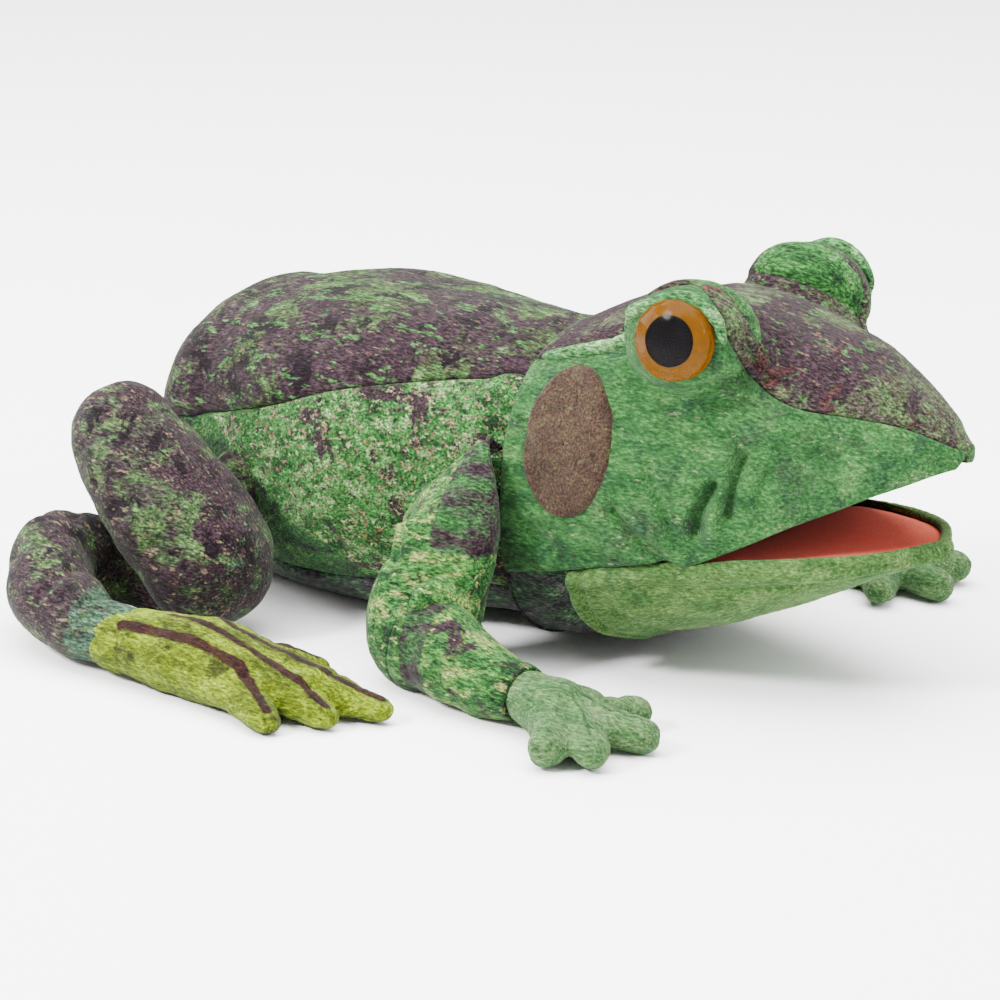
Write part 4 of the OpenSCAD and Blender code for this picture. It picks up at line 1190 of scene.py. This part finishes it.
def hind_leg(side):
    y = SIDES[side]
    limb("thigh_" + side, side, THIGH,
         [([(-140, -118, 60), (-128, -100, 84), (-126, -76, 78)], 2.6, 1.8),
          ([(-128, -120, 52), (-116, -104, 70), (-112, -78, 66)], 3.0, 1.2),
          ([(-110, -124, 40), (-94, -110, 54), (-90, -84, 50)], 1.5, 1.8)],
         None, side + "_thigh", [side + "_thigh_skin", side + "_thigh_stuffing"],
         lambda p: 0.4 * ease((p[..., 0] - 0.9 * (p[..., 2] - 38) + 92) / 8))
    limb("shank_" + side, side, SHANK,
         [([(-165, -100, 38), (-150, -120, 46), (-146, -118, 20)], 3.0, 2.2),
          ([(-178, -124, 36), (-158, -124, 47), (-150, -110, 36)], 2.6, 1.6),
          ([(-160, -146, 34), (-142, -128, 42), (-140, -126, 24)], 3.0, 1.8),
          ([(-132, -166, 26), (-126, -148, 36), (-126, -134, 28)], 2.6, 1.4),
          ([(-112, -166, 20), (-110, -152, 30), (-110, -138, 24)], 1.6, 1.3)],
         (side + "_thigh", side + "_shank", (-121, 97 * y, 8), (-140, 98 * y, 14)), None,
         [side + "_shank_skin", side + "_shank_stuffing"], lambda p: 0.55 * ease((p[..., 0] + 124) / 12))
    paw("foot_" + side, side, (-100, -152, 14, 13), (-58, -148, 12, 20),
        [((-33, -160, 9.5, 10.2), (-11, -171, 5.2, 5)), ((-20, -152, 10, 10.4), (4, -155, 5.2, 5)),
         ((-9, -142, 9.5, 9.8), (16, -138, 5.2, 5)), ((-48, -127, 9, 9.4), (-33, -114, 5.2, 5))], 0.8,
        foot_plush, lambda p, line: 0.74 * ease((4.6 - line) / 4.2),
        [(-90, -160), (-76, -148), (-56, -141), (-72, -133)], 3,
        (side + "_shank", side + "_foot", (-110, 152 * y, 15), (-88, 152 * y, 14)), [side + "_foot"])


def hip(side):
    """Short stuffed joint that sews the thigh to the flank."""
    t = np.linspace(0, 1, 26)[:, None]
    a = np.linspace(0, 2 * math.pi, 90, endpoint=False)[None, :]
    r = 12.5 + 4.0 * (2 * t - 1)**2
    rings = np.stack([-116 + r * np.cos(a), -55 - 23 * t + 0 * a, 51 - 6 * t + 1.15 * r * np.sin(a)], -1)
    rings = flip(rings, side)
    out = rings + ring_normals(rings) * (0.8 * noise(rings, 12, 85) + pile(rings))[..., None]
    y = SIDES[side]
    soft_piece(closed_tube("hip_" + side, out, leg_plush),
               across=("torso", side + "_thigh", (-116, 60 * y, 49), (-116, 73 * y, 47)))


for side in SIDES:
    arm(side)
    hand(side)
    hip(side)
    hind_leg(side)


# ---- Inside: linings, pockets and hem -------------------------------------------------------------

def sleeve():
    x = np.arange(RUMP_X, -29.9, GRID * 1.5)
    p = sleeve_point(x[:, None], np.linspace(0, 360, 150, endpoint=False)[None, :], 0.6)
    lining_piece("sleeve_cloth", p, p.mean(1), 0.5 * noise(p * (0.3, 1, 1), 9, 91) - 0.9, "torso",
                 "sleeve_lining", ring=True)


def hem():
    """Rolled edge of the hand opening."""
    roll_r = 2.7
    turn = np.radians(np.linspace(-30, 250, 26))[:, None]
    a = np.linspace(0, 360, 180, endpoint=False)
    p = sleeve_point(np.full((len(turn), 1), RUMP_X), a[None, :], 0.4 + roll_r * np.cos(turn))
    p[..., 0] -= roll_r * np.sin(turn) + 0.6
    p = p + ring_normals(p) * (pile(p) + 0.25 * noise(p, 5, 93))[..., None]
    piece = shell("opening_hem", p, p * (1, 0.985, 1) + (0.8, 0, 0.9), belly_plush, ring=True)
    soft_piece(piece, "torso", replaced=["sleeve_hem"])


def neck():
    t = np.radians(np.linspace(74, 50, 22))[:, None]
    a = np.radians(np.linspace(0, 360, 150, endpoint=False))[None, :]
    way = np.stack([np.cos(t) + 0 * a, -np.sin(t) * np.cos(a), np.sin(t) * np.sin(a)], -1)
    p = NECK + (BALL - 3.9) * way
    lining_piece("neck_cloth", p, p.mean(1), 0.3 * noise(p, 12, 95) - 0.3, "neck", "neck_lining",
                 ring=True)


def finger_pocket():
    x = np.arange(60, 162, GRID * 1.5)[:, None]
    t = (x - 60) / 108
    base = FOLD[2] + (x - FOLD[0]) * PALATE_SLOPE + 5.8
    a = np.linspace(2, 178, 110)[None, :]
    p = section(x, a, 39 - 32 * t * t, base - 1, base, base + 33 - 26 * t, HEAD_K)
    lining_piece("finger_pocket_cloth", p, (105, 0, 60), 0.5 * noise(p, 11, 97) - 0.4, "head",
                 "finger_pocket")


def thumb_pocket():
    x = np.arange(92, 138, GRID * 1.5)[:, None]
    t = (x - 92) / 50
    roof = FOLD[2] + (x - FOLD[0]) * JAW_SLOPE - 5
    a = np.linspace(182, 358, 70)[None, :]
    p = section(x, a, 25.2 - 16 * t * t, roof - 17.2 + 12 * t, roof, roof + 1, HEAD_K)
    lining_piece("thumb_pocket_cloth", p, (115, 0, 80), 0.4 * noise(p, 9, 99) - 0.3, "jaw",
                 "thumb_pocket")


sleeve()
hem()
neck()
finger_pocket()
thumb_pocket()


# ---- Parts kept from the frame ------------------------------------------------------------------

KEPT = {"palate_board": card, "jaw_board": card}
for side in SIDES:
    KEPT.update({side + "_eye_back": eye_amber, side + "_eye_iris": eye_amber, side + "_eye_pupil": eye_black,
                 side + "_eye_lens": eye_clear, side + "_eye_washer": washer_plastic})
for name, material in KEPT.items():
    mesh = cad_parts[name].data
    mesh.materials.clear()
    mesh.materials.append(material)
